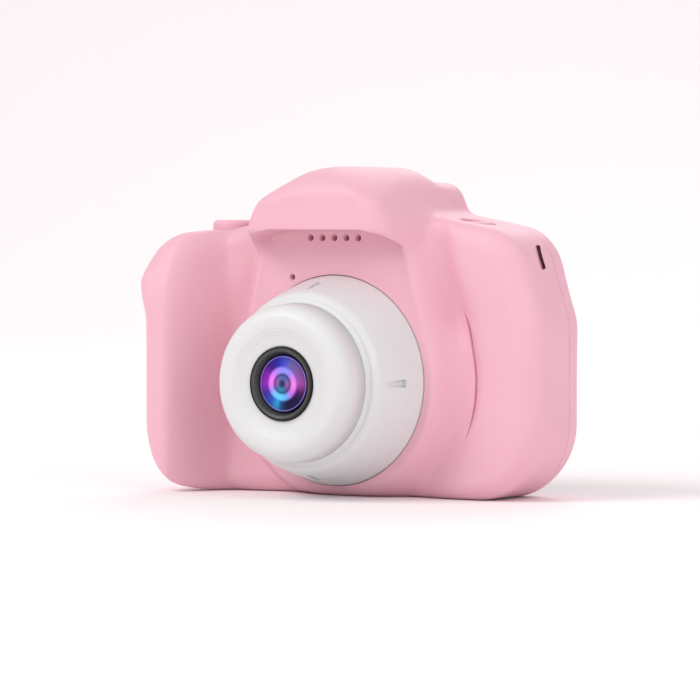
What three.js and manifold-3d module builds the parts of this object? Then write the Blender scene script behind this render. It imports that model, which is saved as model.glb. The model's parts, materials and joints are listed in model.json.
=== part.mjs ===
// Children's digital camera, millimetres, +Z up, lens facing -Y.
// Origin: centre of the footprint, on the flat underside. +X is to the right when the lens is seen from the front.
import * as THREE from 'three';
import { mergeVertices } from 'three/addons/utils/BufferGeometryUtils.js';
import Module from 'manifold-3d';

const wasm = await Module();
wasm.setup();

// Driving dimensions of the body.
const bodyWidth = 80.9;
const bodyHeight = 60;
const bodyDepth = 23.2; // lens collar face to rear face
const lensReach = 18.2; // lens front in front of the collar face
const keyProud = 0.6;
const wall = 2;
const seamGap = 0.3;
const partingFromRear = 8;
const leftShoulder = 46.9;
const rightShoulder = 48;
const humpFootHalf = 16.8;
const humpTopHalf = 12.2;
const humpRearDrop = 2.8; // the rear half of the hump is lower than the front half
const humpRearInset = 1;
const gripBulge = 0.75;
const waistInset = 4.6;
const waistZ = 34.4;
const leftBulgeZ = 38.5;
const leftBulgeFoot = 32;
const humpFootRight = 51.3;
const humpFootLeft = 49.9;

// Front relief, heights measured in front of the base face.
const collarRise = 2.7;
const collarHalf = 20.5;
const collarFoot = 24.4;
const visorRise = 9.6;
const visorUnderside = 48.4;
const visorHalf = 15.5;
const visorCorner = 4;
const visorLip = 0.6;
const visorSlope = 9.4; // how far the top of the visor slopes back
const humpCorner = 8.5;
const gripRise = 10.5;
const gripRidgeInset = 7.6;
const gripFlank = 8.2;

// Lens.
const lensX = 0;
const lensZ = 21.1;
const drumRadius = 19.1;
const drumShoulder = 16.2;
const drumLength = 11.2;
const drumFlange = 0.8;
const flangeThickness = 1.2;
const barrelRadius = 14.1;
const barrelWall = 3.4;
const bezelRadius = 6.55;
const bezelWall = 1.1;
const glassThickness = 0.8;
const moduleRadius = 4.2;
const fit = 0.3; // clearance between pieces that fit together
const seat = 0.05; // film between pieces that rest on each other

// Electronics.
const boardThickness = 1.2;
const boardFromSeam = 0.2;
const boardMargin = 4.6;
const boardBottom = 3.2;
const boardTop = 45.4;
const screenWidth = 44.5;
const screenHeight = 35;
const screenX = 9.2;
const screenZ = 26.5;
const windowThickness = 1.2;
const panelThickness = 2.6;
const batteryWidth = 30;
const batteryHeight = 22;
const batteryThickness = 5.5;
const speakerRadius = 6.6;
const speakerDepth = 3.4;
const speakerZ = 48.3;
const holePitch = 2.58;
const holeRadius = 0.5;
const holeCount = 5;
const holeZ = 47;
const micX = -9.2;
const micZ = 39.8;
const micRadius = 2;
const micDepth = 1.5;
const socketWidth = 7.6;
const socketHeight = 5.6;
const socketDepth = 2.7;
const socketX = 12;
const slotWidth = 14;
const slotLength = 14.5;
const slotDepth = 1.6;
const slotX = -11;

// Keys.
const switchSide = 4.4;
const switchHeight = 2.2;
const plungerRadius = 1.2;
const plungerProud = 0.9;
const keyTravel = 0.6;
const shutterTravel = 1;
const padX = -24.2;
const padZ = 21;
const roundKeyRadius = 2.4;
const okKeyRadius = 3;
const modeKeyRadius = 3;
const modeKeyZ = 37;
const keyFlange = 0.5;
const shutterRadius = 4.2;
const shutterX = -27.8;
const shutterY = 6;
const shutterTop = 50.2;
const powerRadius = 3.2;
const powerX = 24.5;
const powerY = 7;
const powerTop = 50;

// Fasteners.
const bossRadius = 2.4;
const pilotRadius = 1.1;
const screwRadius = 0.85;
const screwHeadRadius = 1.75;
const screwHeadHeight = 1.3;
const screwLength = 9;
const boardScrewLength = 6;
const screwSink = 2.4;
const strapPostWidth = 8.4;

// Planes across the depth, worked out from the driving dimensions.
const overallDepth = lensReach + bodyDepth + keyProud;
const lensFront = -overallDepth / 2;
const collarY = lensFront + lensReach;
const baseY = collarY + collarRise;
const rearY = collarY + bodyDepth;
const seamY = rearY - partingFromRear;
const boardFront = seamY - boardFromSeam - boardThickness;
const boardRear = boardFront + boardThickness;
const rearInner = rearY - wall;
const halfWidth = bodyWidth / 2;
const padReach = roundKeyRadius + okKeyRadius + 2 * keyFlange + fit; // centre key to each key round it

// Colours.
const finish = {
  pink: { color: 0xf7bccb, roughness: 0.5, metalness: 0 },
  white: { color: 0xeeeef0, roughness: 0.4, metalness: 0 },
  black: { color: 0x2b2c2a, roughness: 0.35, metalness: 0 },
  olive: { color: 0x4b4d47, roughness: 0.45, metalness: 0 },
  glass: { color: 0x2b2350, roughness: 0.05, metalness: 0 },
  lavender: { color: 0xb7a8d8, roughness: 0.3, metalness: 0.3 },
  board: { color: 0x1f5a3a, roughness: 0.5, metalness: 0 },
  steel: { color: 0xb9bbbd, roughness: 0.35, metalness: 0.9 },
  foil: { color: 0xc8cacc, roughness: 0.4, metalness: 0.6 },
  amber: { color: 0xc77a2a, roughness: 0.45, metalness: 0 },
  red: { color: 0xc23030, roughness: 0.5, metalness: 0 },
  foam: { color: 0x3a3a3c, roughness: 0.95, metalness: 0 },
};

const camera = new THREE.Group();

function add(name, geometry, look) {
  const mesh = new THREE.Mesh(geometry, new THREE.MeshStandardMaterial(look));
  mesh.name = name;
  camera.add(mesh);
  return mesh;
}

// ---- Solids: joining and cutting ----

function toSolid(geometry) {
  const bare = geometry.index ? geometry.toNonIndexed() : geometry.clone();
  bare.deleteAttribute('normal');
  bare.deleteAttribute('uv');
  const merged = mergeVertices(bare, 1e-4);
  return new wasm.Manifold(new wasm.Mesh({
    numProp: 3,
    vertProperties: new Float32Array(merged.attributes.position.array),
    triVerts: new Uint32Array(merged.index.array),
  }));
}

function toGeometry(solid) {
  const mesh = solid.getMesh();
  const geometry = new THREE.BufferGeometry();
  geometry.setAttribute('position', new THREE.BufferAttribute(new Float32Array(mesh.vertProperties), 3));
  geometry.setIndex(new THREE.BufferAttribute(new Uint32Array(mesh.triVerts), 1));
  return geometry;
}

function join(base, ...extras) {
  return extras.reduce((sum, extra) => sum.add(toSolid(extra)), base);
}

function cut(base, ...tools) {
  return tools.reduce((rest, tool) => rest.subtract(toSolid(tool)), base);
}

// ---- Basic shapes ----

function box(x0, x1, y0, y1, z0, z1) {
  const geometry = new THREE.BoxGeometry(x1 - x0, y1 - y0, z1 - z0);
  return geometry.translate((x0 + x1) / 2, (y0 + y1) / 2, (z0 + z1) / 2);
}

// A solid of revolution about an axis along Y; the profile is a closed loop of [radius, y] points,
// or an open one that starts and ends on the axis.
function turned(profile, x, z, segments = 24) {
  let area = 0;
  profile.forEach(([r, y], i) => {
    const [r2, y2] = profile[(i + 1) % profile.length];
    area += r * y2 - r2 * y;
  });
  const points = profile.map(([r, y]) => new THREE.Vector2(r, y));
  const onAxis = profile[0][0] === 0;
  if (!onAxis) points.push(points[0].clone());
  if (area < 0) points.reverse();
  return new THREE.LatheGeometry(points, segments).translate(x, 0, z);
}

// The same, about an axis along Z; the profile's second numbers are heights.
function turnedUp(profile, x, y, segments = 24) {
  const flipped = profile.map(([r, h]) => [r, -h]);
  return turned(flipped, 0, 0, segments).rotateX(-Math.PI / 2).translate(x, y, 0);
}

function rod(radius, x, z, y0, y1, segments = 16) {
  return turned([[0, y0], [radius, y0], [radius, y1], [0, y1]], x, z, segments);
}

function post(radius, x, y, z0, z1, segments = 16) {
  return turnedUp([[0, z0], [radius, z0], [radius, z1], [0, z1]], x, y, segments);
}

// A flat shape in the X-Z plane given a thickness along Y.
function plate(shape, y0, y1, curveSegments = 4) {
  const geometry = new THREE.ExtrudeGeometry(shape, { depth: y1 - y0, bevelEnabled: false, curveSegments });
  return geometry.rotateX(Math.PI / 2).translate(0, y1, 0);
}

// A closed shape with straight sides and round corners, from [x, z, radius] corners in order.
function roundedShape(corners) {
  const shape = new THREE.Shape();
  corners.forEach(([x, z, radius], i) => {
    const before = corners[(i + corners.length - 1) % corners.length];
    const after = corners[(i + 1) % corners.length];
    const here = new THREE.Vector2(x, z);
    const toBefore = new THREE.Vector2(before[0] - x, before[1] - z).normalize();
    const toAfter = new THREE.Vector2(after[0] - x, after[1] - z).normalize();
    const half = Math.acos(THREE.MathUtils.clamp(toBefore.dot(toAfter), -1, 1)) / 2;
    const reach = radius / Math.tan(half);
    const start = here.clone().addScaledVector(toBefore, reach);
    const end = here.clone().addScaledVector(toAfter, reach);
    const centre = here.clone().add(toBefore.add(toAfter).normalize().multiplyScalar(radius / Math.sin(half)));
    const startAngle = Math.atan2(start.y - centre.y, start.x - centre.x);
    const endAngle = Math.atan2(end.y - centre.y, end.x - centre.x);
    const turn = THREE.MathUtils.euclideanModulo(endAngle - startAngle, 2 * Math.PI);
    if (i === 0) shape.moveTo(start.x, start.y);
    else shape.lineTo(start.x, start.y);
    shape.absarc(centre.x, centre.y, radius, startAngle, endAngle, turn > Math.PI);
  });
  shape.closePath();
  return shape;
}

function roundedRectangle(x, z, width, height, radius) {
  return roundedShape([
    [x - width / 2, z - height / 2, radius],
    [x + width / 2, z - height / 2, radius],
    [x + width / 2, z + height / 2, radius],
    [x - width / 2, z + height / 2, radius],
  ]);
}

// Points spaced evenly along an outline, each with its outward direction.
function sampleOutline(shape, count) {
  const points = shape.getSpacedPoints(count).slice(0, count);
  return points.map((point, i) => {
    const before = points[(i + count - 1) % count];
    const after = points[(i + 1) % count];
    const out = new THREE.Vector2(after.y - before.y, before.x - after.x).normalize();
    return { x: point.x, z: point.y, outX: out.x, outZ: out.y };
  });
}

// A closed body through a list of rings with the same number of points, capped by a fan at each end.
function loft(rings) {
  const count = rings[0].length;
  const positions = rings.flat().flatMap((p) => [p.x, p.y, p.z]);
  const index = [];
  for (let k = 0; k + 1 < rings.length; k += 1) {
    for (let i = 0; i < count; i += 1) {
      const j = (i + 1) % count;
      const a = k * count + i;
      const b = k * count + j;
      index.push(a, a + count, b, b, a + count, b + count);
    }
  }
  [rings[0], rings[rings.length - 1]].forEach((ring, end) => {
    const middle = ring.reduce((sum, p) => sum.add(p), new THREE.Vector3()).divideScalar(count);
    const centre = positions.length / 3;
    positions.push(middle.x, middle.y, middle.z);
    const base = end === 0 ? 0 : (rings.length - 1) * count;
    for (let i = 0; i < count; i += 1) {
      const j = (i + 1) % count;
      if (end === 0) index.push(centre, base + i, base + j);
      else index.push(centre, base + j, base + i);
    }
  });
  const geometry = new THREE.BufferGeometry();
  geometry.setAttribute('position', new THREE.BufferAttribute(new Float32Array(positions), 3));
  geometry.setIndex(index);
  return geometry;
}

// ---- The body's form ----

function smooth(low, high, value) {
  return THREE.MathUtils.smoothstep(value, low, high);
}

function frontCorners() {
  return [
    [-halfWidth + gripBulge, 0, 13.5],
    [halfWidth, 0, 13.5],
    [halfWidth, waistZ, 9],
    [halfWidth - waistInset, rightShoulder, 8.5],
    [humpFootHalf, humpFootRight, 3],
    [humpTopHalf, bodyHeight - 0.4, humpCorner],
    [0, bodyHeight, 30],
    [-7, bodyHeight - 0.3, 12],
    [-14.2, 55, 5],
    [-humpFootHalf, humpFootLeft, 3],
    [-halfWidth, leftShoulder, 8.2],
    [-halfWidth, leftBulgeZ, 8],
    [-halfWidth + gripBulge, leftBulgeFoot, 12],
  ];
}

function rearCorners() {
  const corners = frontCorners();
  const top = bodyHeight - humpRearDrop;
  corners[4] = [humpFootHalf - humpRearInset, humpFootRight, 3];
  corners[5] = [humpTopHalf + 1.2, top - 0.3, 3.8];
  corners[6] = [0, top, 30];
  corners[7] = [-6.5, top - 0.4, 10];
  corners[8] = [-13, 53.5, 5];
  corners[9] = [-humpFootHalf + humpRearInset, humpFootLeft, 3];
  return corners;
}

// How far the front surface stands in front of the base face at a point, leaving the visor out.
function relief(x, z) {
  const radius = Math.hypot(x - lensX, z - lensZ);
  const collar = 1 - smooth(collarHalf, collarFoot, radius);
  const columnHalf = 19 - 0.27 * Math.max(0, z - 29);
  const column = z > lensZ ? 1 - smooth(columnHalf, columnHalf + 4.6, Math.abs(x - lensX)) : 0;
  const raised = Math.max(collar, column);
  const swell = 0.5 - 0.0006 * x * x - 1.1 * Math.exp(-(((radius - collarFoot) / 4.5) ** 2));
  const base = swell * (1 - raised) + collarRise * raised;
  const ridge = -halfWidth + gripRidgeInset;
  const grip = smooth(0, 1, (ridge + gripFlank - x) / gripFlank);
  const gripTop = 1 - 0.3 * smooth(34, 50, z);
  return base * (1 - grip) + gripRise * gripTop * grip;
}

// Width and depth of the edge rounding at a point of the outline.
function rounding(x, z) {
  const hump = smooth(50, 54, z);
  const left = smooth(20, 30, -x);
  const low = 1 - smooth(1, 9, z);
  const shoulder = smooth(41, 46, z) * (1 - hump);
  const reach = 5.2 + 1.3 * left * (1 - low) - 1.6 * low + 0.6 * hump;
  const depth = 5.2 + 1.6 * left * (1 - low) - 1.8 * low + 4.5 * hump - 2 * shoulder;
  return { reach, depth };
}

const roundingSteps = [0.08, 0.3, 0.62];
const frontSteps = [0, 0.08, 0.16, 0.24, 0.33, 0.42, 0.5, 0.56, 0.61, 0.66, 0.74];
const cavitySteps = [0, 0.16, 0.33, 0.5, 0.58, 0.68];

// Rings of the front shell's outer surface, or of its cavity when thickness is more than 0.
function frontRings(corners, count, thickness, steps) {
  const outline = sampleOutline(roundedShape(corners), count);
  const surface = (x, z) => {
    const slopeX = relief(x + 0.5, z) - relief(x - 0.5, z);
    const slopeZ = relief(x, z + 0.5) - relief(x, z - 0.5);
    const slope = Math.min(2.4, Math.hypot(slopeX, slopeZ));
    return baseY - relief(x, z) + thickness * Math.sqrt(1 + slope * slope);
  };
  const inset = (p, amount, y) => new THREE.Vector3(p.x - p.outX * amount, y, p.z - p.outZ * amount);
  const back = thickness > 0 ? seamY + 1 : seamY;
  const edge = (p) => {
    const size = rounding(p.x, p.z);
    const reach = Math.max(size.reach - thickness, 1.5);
    const depth = Math.max(size.depth - thickness, 1.5);
    const rim = inset(p, reach + thickness, 0);
    return { reach, depth, rim };
  };
  const rings = [outline.map((p) => inset(p, thickness, back))];
  [0, ...roundingSteps, 1].forEach((step) => {
    rings.push(outline.map((p) => {
      const { reach, depth } = edge(p);
      const point = inset(p, thickness + reach * step, 0);
      const height = Math.sqrt(1 - (1 - step) ** 2);
      point.y = Math.min(surface(point.x, point.z) + depth * (1 - height), back - 0.5);
      return point;
    }));
  });
  const hoop = collarFoot + 0.4;
  steps.slice(1).forEach((step) => {
    rings.push(outline.map((p) => {
      const { rim } = edge(p);
      const span = Math.hypot(rim.x - lensX, rim.z - lensZ);
      const outer = Math.min(hoop, span * 0.97);
      const radius = step < 0.5
        ? THREE.MathUtils.lerp(span, outer, step / 0.5)
        : THREE.MathUtils.lerp(outer, 12, (step - 0.5) / 0.5);
      const x = lensX + (rim.x - lensX) * (radius / span);
      const z = lensZ + (rim.z - lensZ) * (radius / span);
      return new THREE.Vector3(x, surface(x, z), z);
    }));
  });
  return rings;
}

function rearRings(corners, count, thickness) {
  const outline = sampleOutline(roundedShape(corners), count);
  const front = thickness > 0 ? seamY + seamGap - 1 : seamY + seamGap;
  const inset = (p, amount, y) => new THREE.Vector3(p.x - p.outX * amount, y, p.z - p.outZ * amount);
  const rings = [];
  [1, ...[...roundingSteps].reverse(), 0].forEach((step) => {
    rings.unshift(outline.map((p) => {
      const low = 1 - smooth(1, 9, p.z);
      const reach = Math.max(6 - 2.4 * low - thickness, 1.5);
      const height = Math.sqrt(1 - (1 - step) ** 2);
      return inset(p, thickness + reach * step, rearY - thickness - reach * (1 - height));
    }));
  });
  rings.unshift(outline.map((p) => inset(p, thickness, front)));
  return rings;
}

// The visor and the front half of the hump: upright sections from the underside to the top.
// Half the hump's width at a height, with its rounded top corners.
function humpHalf(z) {
  const foot = visorUnderside + 1.5;
  const lean = THREE.MathUtils.mapLinear(z, foot, bodyHeight, humpFootHalf, humpTopHalf);
  const over = THREE.MathUtils.clamp((z - bodyHeight + humpCorner) / humpCorner, 0, 1);
  return lean - humpCorner * (1 - Math.sqrt(1 - over * over));
}

function visorRings() {
  const sections = [];
  const span = bodyHeight - visorUnderside;
  [0, 0.05, 0.45, 0.6, 0.74, 0.86, 0.95, 0.995].forEach((share) => {
    const z = visorUnderside + share * span;
    const rise = THREE.MathUtils.clamp((share - 0.45) / 0.55, 0, 1);
    const fall = 1 - Math.sqrt(1 - rise * rise);
    const lip = share === 0 ? visorLip : 0;
    const front = baseY - visorRise + lip + visorSlope * fall;
    const corner = visorCorner;
    const half = Math.min(visorHalf, humpHalf(z)) - lip / 2;
    const back = seamY - 1;
    const ring = [];
    for (let i = 0; i <= 5; i += 1) {
      const angle = (i / 5) * (Math.PI / 2);
      ring.push([half - corner + corner * Math.cos(angle), front + corner - corner * Math.sin(angle)]);
    }
    const mirrored = [...ring].reverse().map(([x, y]) => [-x, y]);
    const loop = [[half, back], ...ring, ...mirrored, [-half, back]];
    sections.push(loop.map(([x, y]) => new THREE.Vector3(lensX + x, Math.min(y, back - 0.01), z)));
  });
  return sections;
}

function solidLoft(rings) {
  const solid = toSolid(loft(rings));
  return solid.volume() > 0 ? solid : toSolid(loft(rings.map((ring) => [...ring].reverse())));
}

// ---- Places shared by several pieces ----

const screwPlaces = [
  [-halfWidth + 7, 9],
  [halfWidth - 6.2, 11.5],
  [-halfWidth + 6.8, 41.5],
  [10.6, 50.6],
];
const boardScrews = [
  [-16, 41.5],
  [halfWidth - 9.4, 4.8],
];
const rearKeys = [
  { name: 'mode_key', x: padX, z: modeKeyZ, radius: modeKeyRadius },
  { name: 'up_key', x: padX, z: padZ + padReach, radius: roundKeyRadius },
  { name: 'down_key', x: padX, z: padZ - padReach, radius: roundKeyRadius },
  { name: 'left_key', x: padX + padReach, z: padZ, radius: roundKeyRadius },
  { name: 'right_key', x: padX - padReach, z: padZ, radius: roundKeyRadius },
  { name: 'ok_key', x: padX, z: padZ, radius: okKeyRadius },
];
const topKeys = [
  { name: 'shutter_key', x: shutterX, y: shutterY, radius: shutterRadius, top: shutterTop, travel: shutterTravel },
  { name: 'power_key', x: powerX, y: powerY, radius: powerRadius, top: powerTop, travel: keyTravel },
];
const strapZ = 43.6;
const strapHeight = 4.4;
const strapGap = 1.6;
const drumHole = drumRadius + 0.15;
const socketBack = boardFront - seat;
const boardScrewTip = boardRear + seat + screwHeadHeight - boardScrewLength;
const keyGuard = 4.9; // top of a top key's flange below the key's top

// A slanted channel for a wrist strap, from the right flank to the rear face.
function strapChannel() {
  const channel = new THREE.BoxGeometry(strapGap, 30, strapHeight);
  channel.rotateZ(THREE.MathUtils.degToRad(22));
  return channel.translate(halfWidth - 6.1, rearY - 6.4, strapZ);
}

function strapBlock(y0, y1) {
  const z0 = strapZ - strapHeight / 2 - 1.6;
  const z1 = strapZ + strapHeight / 2 + 1.6;
  return box(halfWidth - strapPostWidth, halfWidth + 1, y0, y1, z0, z1);
}

function makeFrontShell() {
  const outer = solidLoft(frontRings(frontCorners(), 72, 0, frontSteps)).add(solidLoft(visorRings()));
  const cavity = cut(
    solidLoft(frontRings(rearCorners(), 48, wall, cavitySteps)),
    strapBlock(seamY - 8, seamY + 2),
    ...screwPlaces.map(([x, z]) => rod(bossRadius, x, z, lensFront, seamY + 2, 12)),
    ...boardScrews.map(([x, z]) => rod(bossRadius, x, z, lensFront, boardFront - seat, 12)),
  );
  let shell = cut(
    outer.subtract(cavity),
    rod(drumHole, lensX, lensZ, lensFront, seamY - 6, 48),
    rod(drumRadius + drumFlange + fit, lensX, lensZ, collarY + wall, collarY + wall + flangeThickness + 2 * fit, 48),
    ...screwPlaces.map(([x, z]) => rod(pilotRadius, x, z, seamY - 7, seamY + 1, 8)),
    ...boardScrews.map(([x, z]) => rod(pilotRadius, x, z, boardScrewTip - fit, seamY + 1, 8)),
    ...topKeys.map((key) => post(key.radius + fit, key.x, key.y, key.top - 7, key.top + 3, 24)),
    ...topKeys.map((key) => post(key.radius + keyFlange + fit, key.x, key.y, key.top - keyGuard - 4,
      key.top - keyGuard + fit, 24)),
    rod(holeRadius, micX, micZ, lensFront, baseY, 8),
    rod(speakerRadius + fit, lensX, speakerZ, collarY + wall - 0.2, seamY - 1, 24),
    rod(micRadius + fit, micX, micZ, collarY + wall - 0.2, seamY - 1, 16),
    box(socketX - socketWidth / 2 - fit, socketX + socketWidth / 2 + fit,
      socketBack - socketDepth - fit, socketBack + fit, -1, wall + 4),
    box(slotX - slotWidth / 2 - fit, slotX + slotWidth / 2 + fit,
      socketBack - slotDepth - fit, socketBack + fit, -1, wall + 4),
    strapChannel(),
  );
  for (let i = 0; i < holeCount; i += 1) {
    const x = lensX + (i - (holeCount - 1) / 2) * holePitch;
    shell = cut(shell, rod(holeRadius, x, holeZ, lensFront, baseY, 8));
  }
  add('front_shell', toGeometry(shell), finish.pink);
}

const windowFront = rearY - windowThickness - 0.2;
const windowEdge = 3.2;

function makeRearShell() {
  const cavity = cut(
    solidLoft(rearRings(rearCorners(), 48, wall)),
    strapBlock(seamY - 2, rearY),
    ...screwPlaces.map(([x, z]) => rod(bossRadius, x, z, seamY - 2, rearY, 12)),
  );
  const shell = cut(
    solidLoft(rearRings(rearCorners(), 72, 0)).subtract(cavity),
    ...screwPlaces.map(([x, z]) => rod(screwRadius + fit, x, z, seamY - 1, rearY + 1, 8)),
    ...screwPlaces.map(([x, z]) => rod(screwHeadRadius + fit, x, z, rearY - screwSink, rearY + 1, 12)),
    ...rearKeys.map((key) => rod(key.radius + fit, key.x, key.z, seamY + 1, rearY + 1, 16)),
    ...rearKeys.map((key) => rod(key.radius + keyFlange + fit, key.x, key.z, seamY + 1, rearInner, 16)),
    plate(roundedRectangle(screenX, screenZ, screenWidth + 2 * fit, screenHeight + 2 * fit, 2 + fit),
      windowFront - seat, rearY + 1),
    plate(roundedRectangle(screenX, screenZ, screenWidth - windowEdge, screenHeight - windowEdge, 1.2),
      seamY + 1, rearY),
    strapChannel(),
  );
  add('rear_shell', toGeometry(shell), finish.pink);
}

// ---- Lens group ----

const drumFront = collarY - drumLength;
const barrelRim = 0.45;

function makeLens() {
  const flangeY = collarY + wall + 0.1;
  add('lens_drum', turned([
    [barrelRadius - barrelWall, drumFront],
    [drumShoulder - 0.6, drumFront],
    [drumShoulder, drumFront + 0.5],
    [drumShoulder + 0.7, drumFront + 1.6],
    [drumRadius - 1.6, collarY - 6.1],
    [drumRadius - 1, collarY - 4.1],
    [drumRadius - 0.1, collarY - 0.4],
    [drumRadius, collarY],
    [drumRadius, flangeY],
    [drumRadius + drumFlange, flangeY],
    [drumRadius + drumFlange, flangeY + flangeThickness],
    [drumRadius - 2, flangeY + flangeThickness],
    [drumShoulder - 1.8, drumFront + 2],
    [barrelRadius - barrelWall, drumFront + 2],
  ], lensX, lensZ, 40), finish.white);

  const bore = bezelRadius + fit;
  const backY = drumFront - seat;
  add('lens_barrel', turned([
    [bore, lensFront + 0.9],
    [barrelRadius - 4.4, lensFront + 0.55],
    [barrelRadius - 3.2, lensFront + 0.1],
    [barrelRadius - 2.4, lensFront],
    [barrelRadius - 1.3, lensFront + 0.35],
    [barrelRadius - 0.45, lensFront + 1.2],
    [barrelRadius, lensFront + 2.6],
    [barrelRadius + barrelRim * 0.4, backY],
    [barrelRadius - barrelWall, backY],
    [barrelRadius - barrelWall, lensFront + 2.8],
    [bore, lensFront + 2.8],
  ], lensX, lensZ, 40), finish.white);

  const glassY = lensFront + 1.5;
  const bezelBack = lensFront + 4.6;
  add('lens_bezel', turned([
    [bezelRadius - bezelWall - 0.5, glassY - 0.2],
    [bezelRadius - bezelWall, lensFront + 0.65],
    [bezelRadius - 0.35, lensFront + 0.45],
    [bezelRadius, lensFront + 0.8],
    [bezelRadius, bezelBack],
    [moduleRadius + fit, bezelBack],
    [moduleRadius + fit, glassY + glassThickness + 2 * seat],
    [bezelRadius - bezelWall, glassY + glassThickness + 2 * seat],
    [bezelRadius - bezelWall, glassY],
    [bezelRadius - bezelWall - 0.5, glassY],
  ], lensX, lensZ, 28), finish.olive);
  add('front_glass', rod(bezelRadius - bezelWall - fit, lensX, lensZ, glassY + seat, glassY + glassThickness, 32),
    finish.glass);

  const moduleFront = glassY + glassThickness + 0.4;
  const moduleBack = moduleFront + 6.2;
  add('retainer_ring', turned([
    [2.2, moduleFront],
    [moduleRadius - 0.4, moduleFront],
    [moduleRadius - 0.4, moduleFront + 0.8],
    [2.2, moduleFront + 0.8],
  ], lensX, lensZ, 16), finish.lavender);
  add('camera_holder', turned([
    [moduleRadius - 1, moduleFront + 0.8 + seat],
    [moduleRadius, moduleFront + 0.8 + seat],
    [moduleRadius, moduleBack],
    [moduleRadius - 1, moduleBack],
  ], lensX, lensZ, 16), finish.black);
  add('inner_lens', turned([
    [0, moduleFront + 0.9],
    [1.5, moduleFront + 1.1],
    [moduleRadius - 1 - fit, moduleFront + 1.7],
    [moduleRadius - 1 - fit, moduleFront + 2.6],
    [0, moduleFront + 2.9],
  ], lensX, lensZ, 16), finish.glass);
  add('aperture_disc', turned([
    [0.9, moduleFront + 3.2],
    [moduleRadius - 1 - fit, moduleFront + 3.2],
    [moduleRadius - 1 - fit, moduleFront + 3.6],
    [0.9, moduleFront + 3.6],
  ], lensX, lensZ, 16), finish.black);
  const boardY = moduleBack + seat;
  add('sensor_board', box(lensX - 5.2, lensX + 5.2, boardY, boardY + 0.8, lensZ - 5.2, lensZ + 5.2), finish.board);
  return boardY + 0.8;
}

// A flat flexible cable: a path in plan, thickened, with a width along Z.
function ribbon(path, thickness, z, width) {
  const side = path.map(([x, y], i) => {
    const before = path[Math.max(i - 1, 0)];
    const after = path[Math.min(i + 1, path.length - 1)];
    const along = new THREE.Vector2(after[0] - before[0], after[1] - before[1]).normalize();
    return [x - along.y * thickness, y + along.x * thickness];
  });
  const outline = [...path, ...side.reverse()].map(([x, y]) => new THREE.Vector2(x, y));
  const geometry = new THREE.ExtrudeGeometry(new THREE.Shape(outline), { depth: width, bevelEnabled: false });
  return geometry.translate(0, 0, z - width / 2);
}

// A round lead along a smooth path.
function lead(points, radius) {
  const section = new THREE.Shape().absarc(0, 0, radius, 0, 2 * Math.PI);
  const path = new THREE.CatmullRomCurve3(points.map(([x, y, z]) => new THREE.Vector3(x, y, z)));
  return new THREE.ExtrudeGeometry(section, { steps: 10, extrudePath: path, curveSegments: 6, bevelEnabled: false });
}

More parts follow.
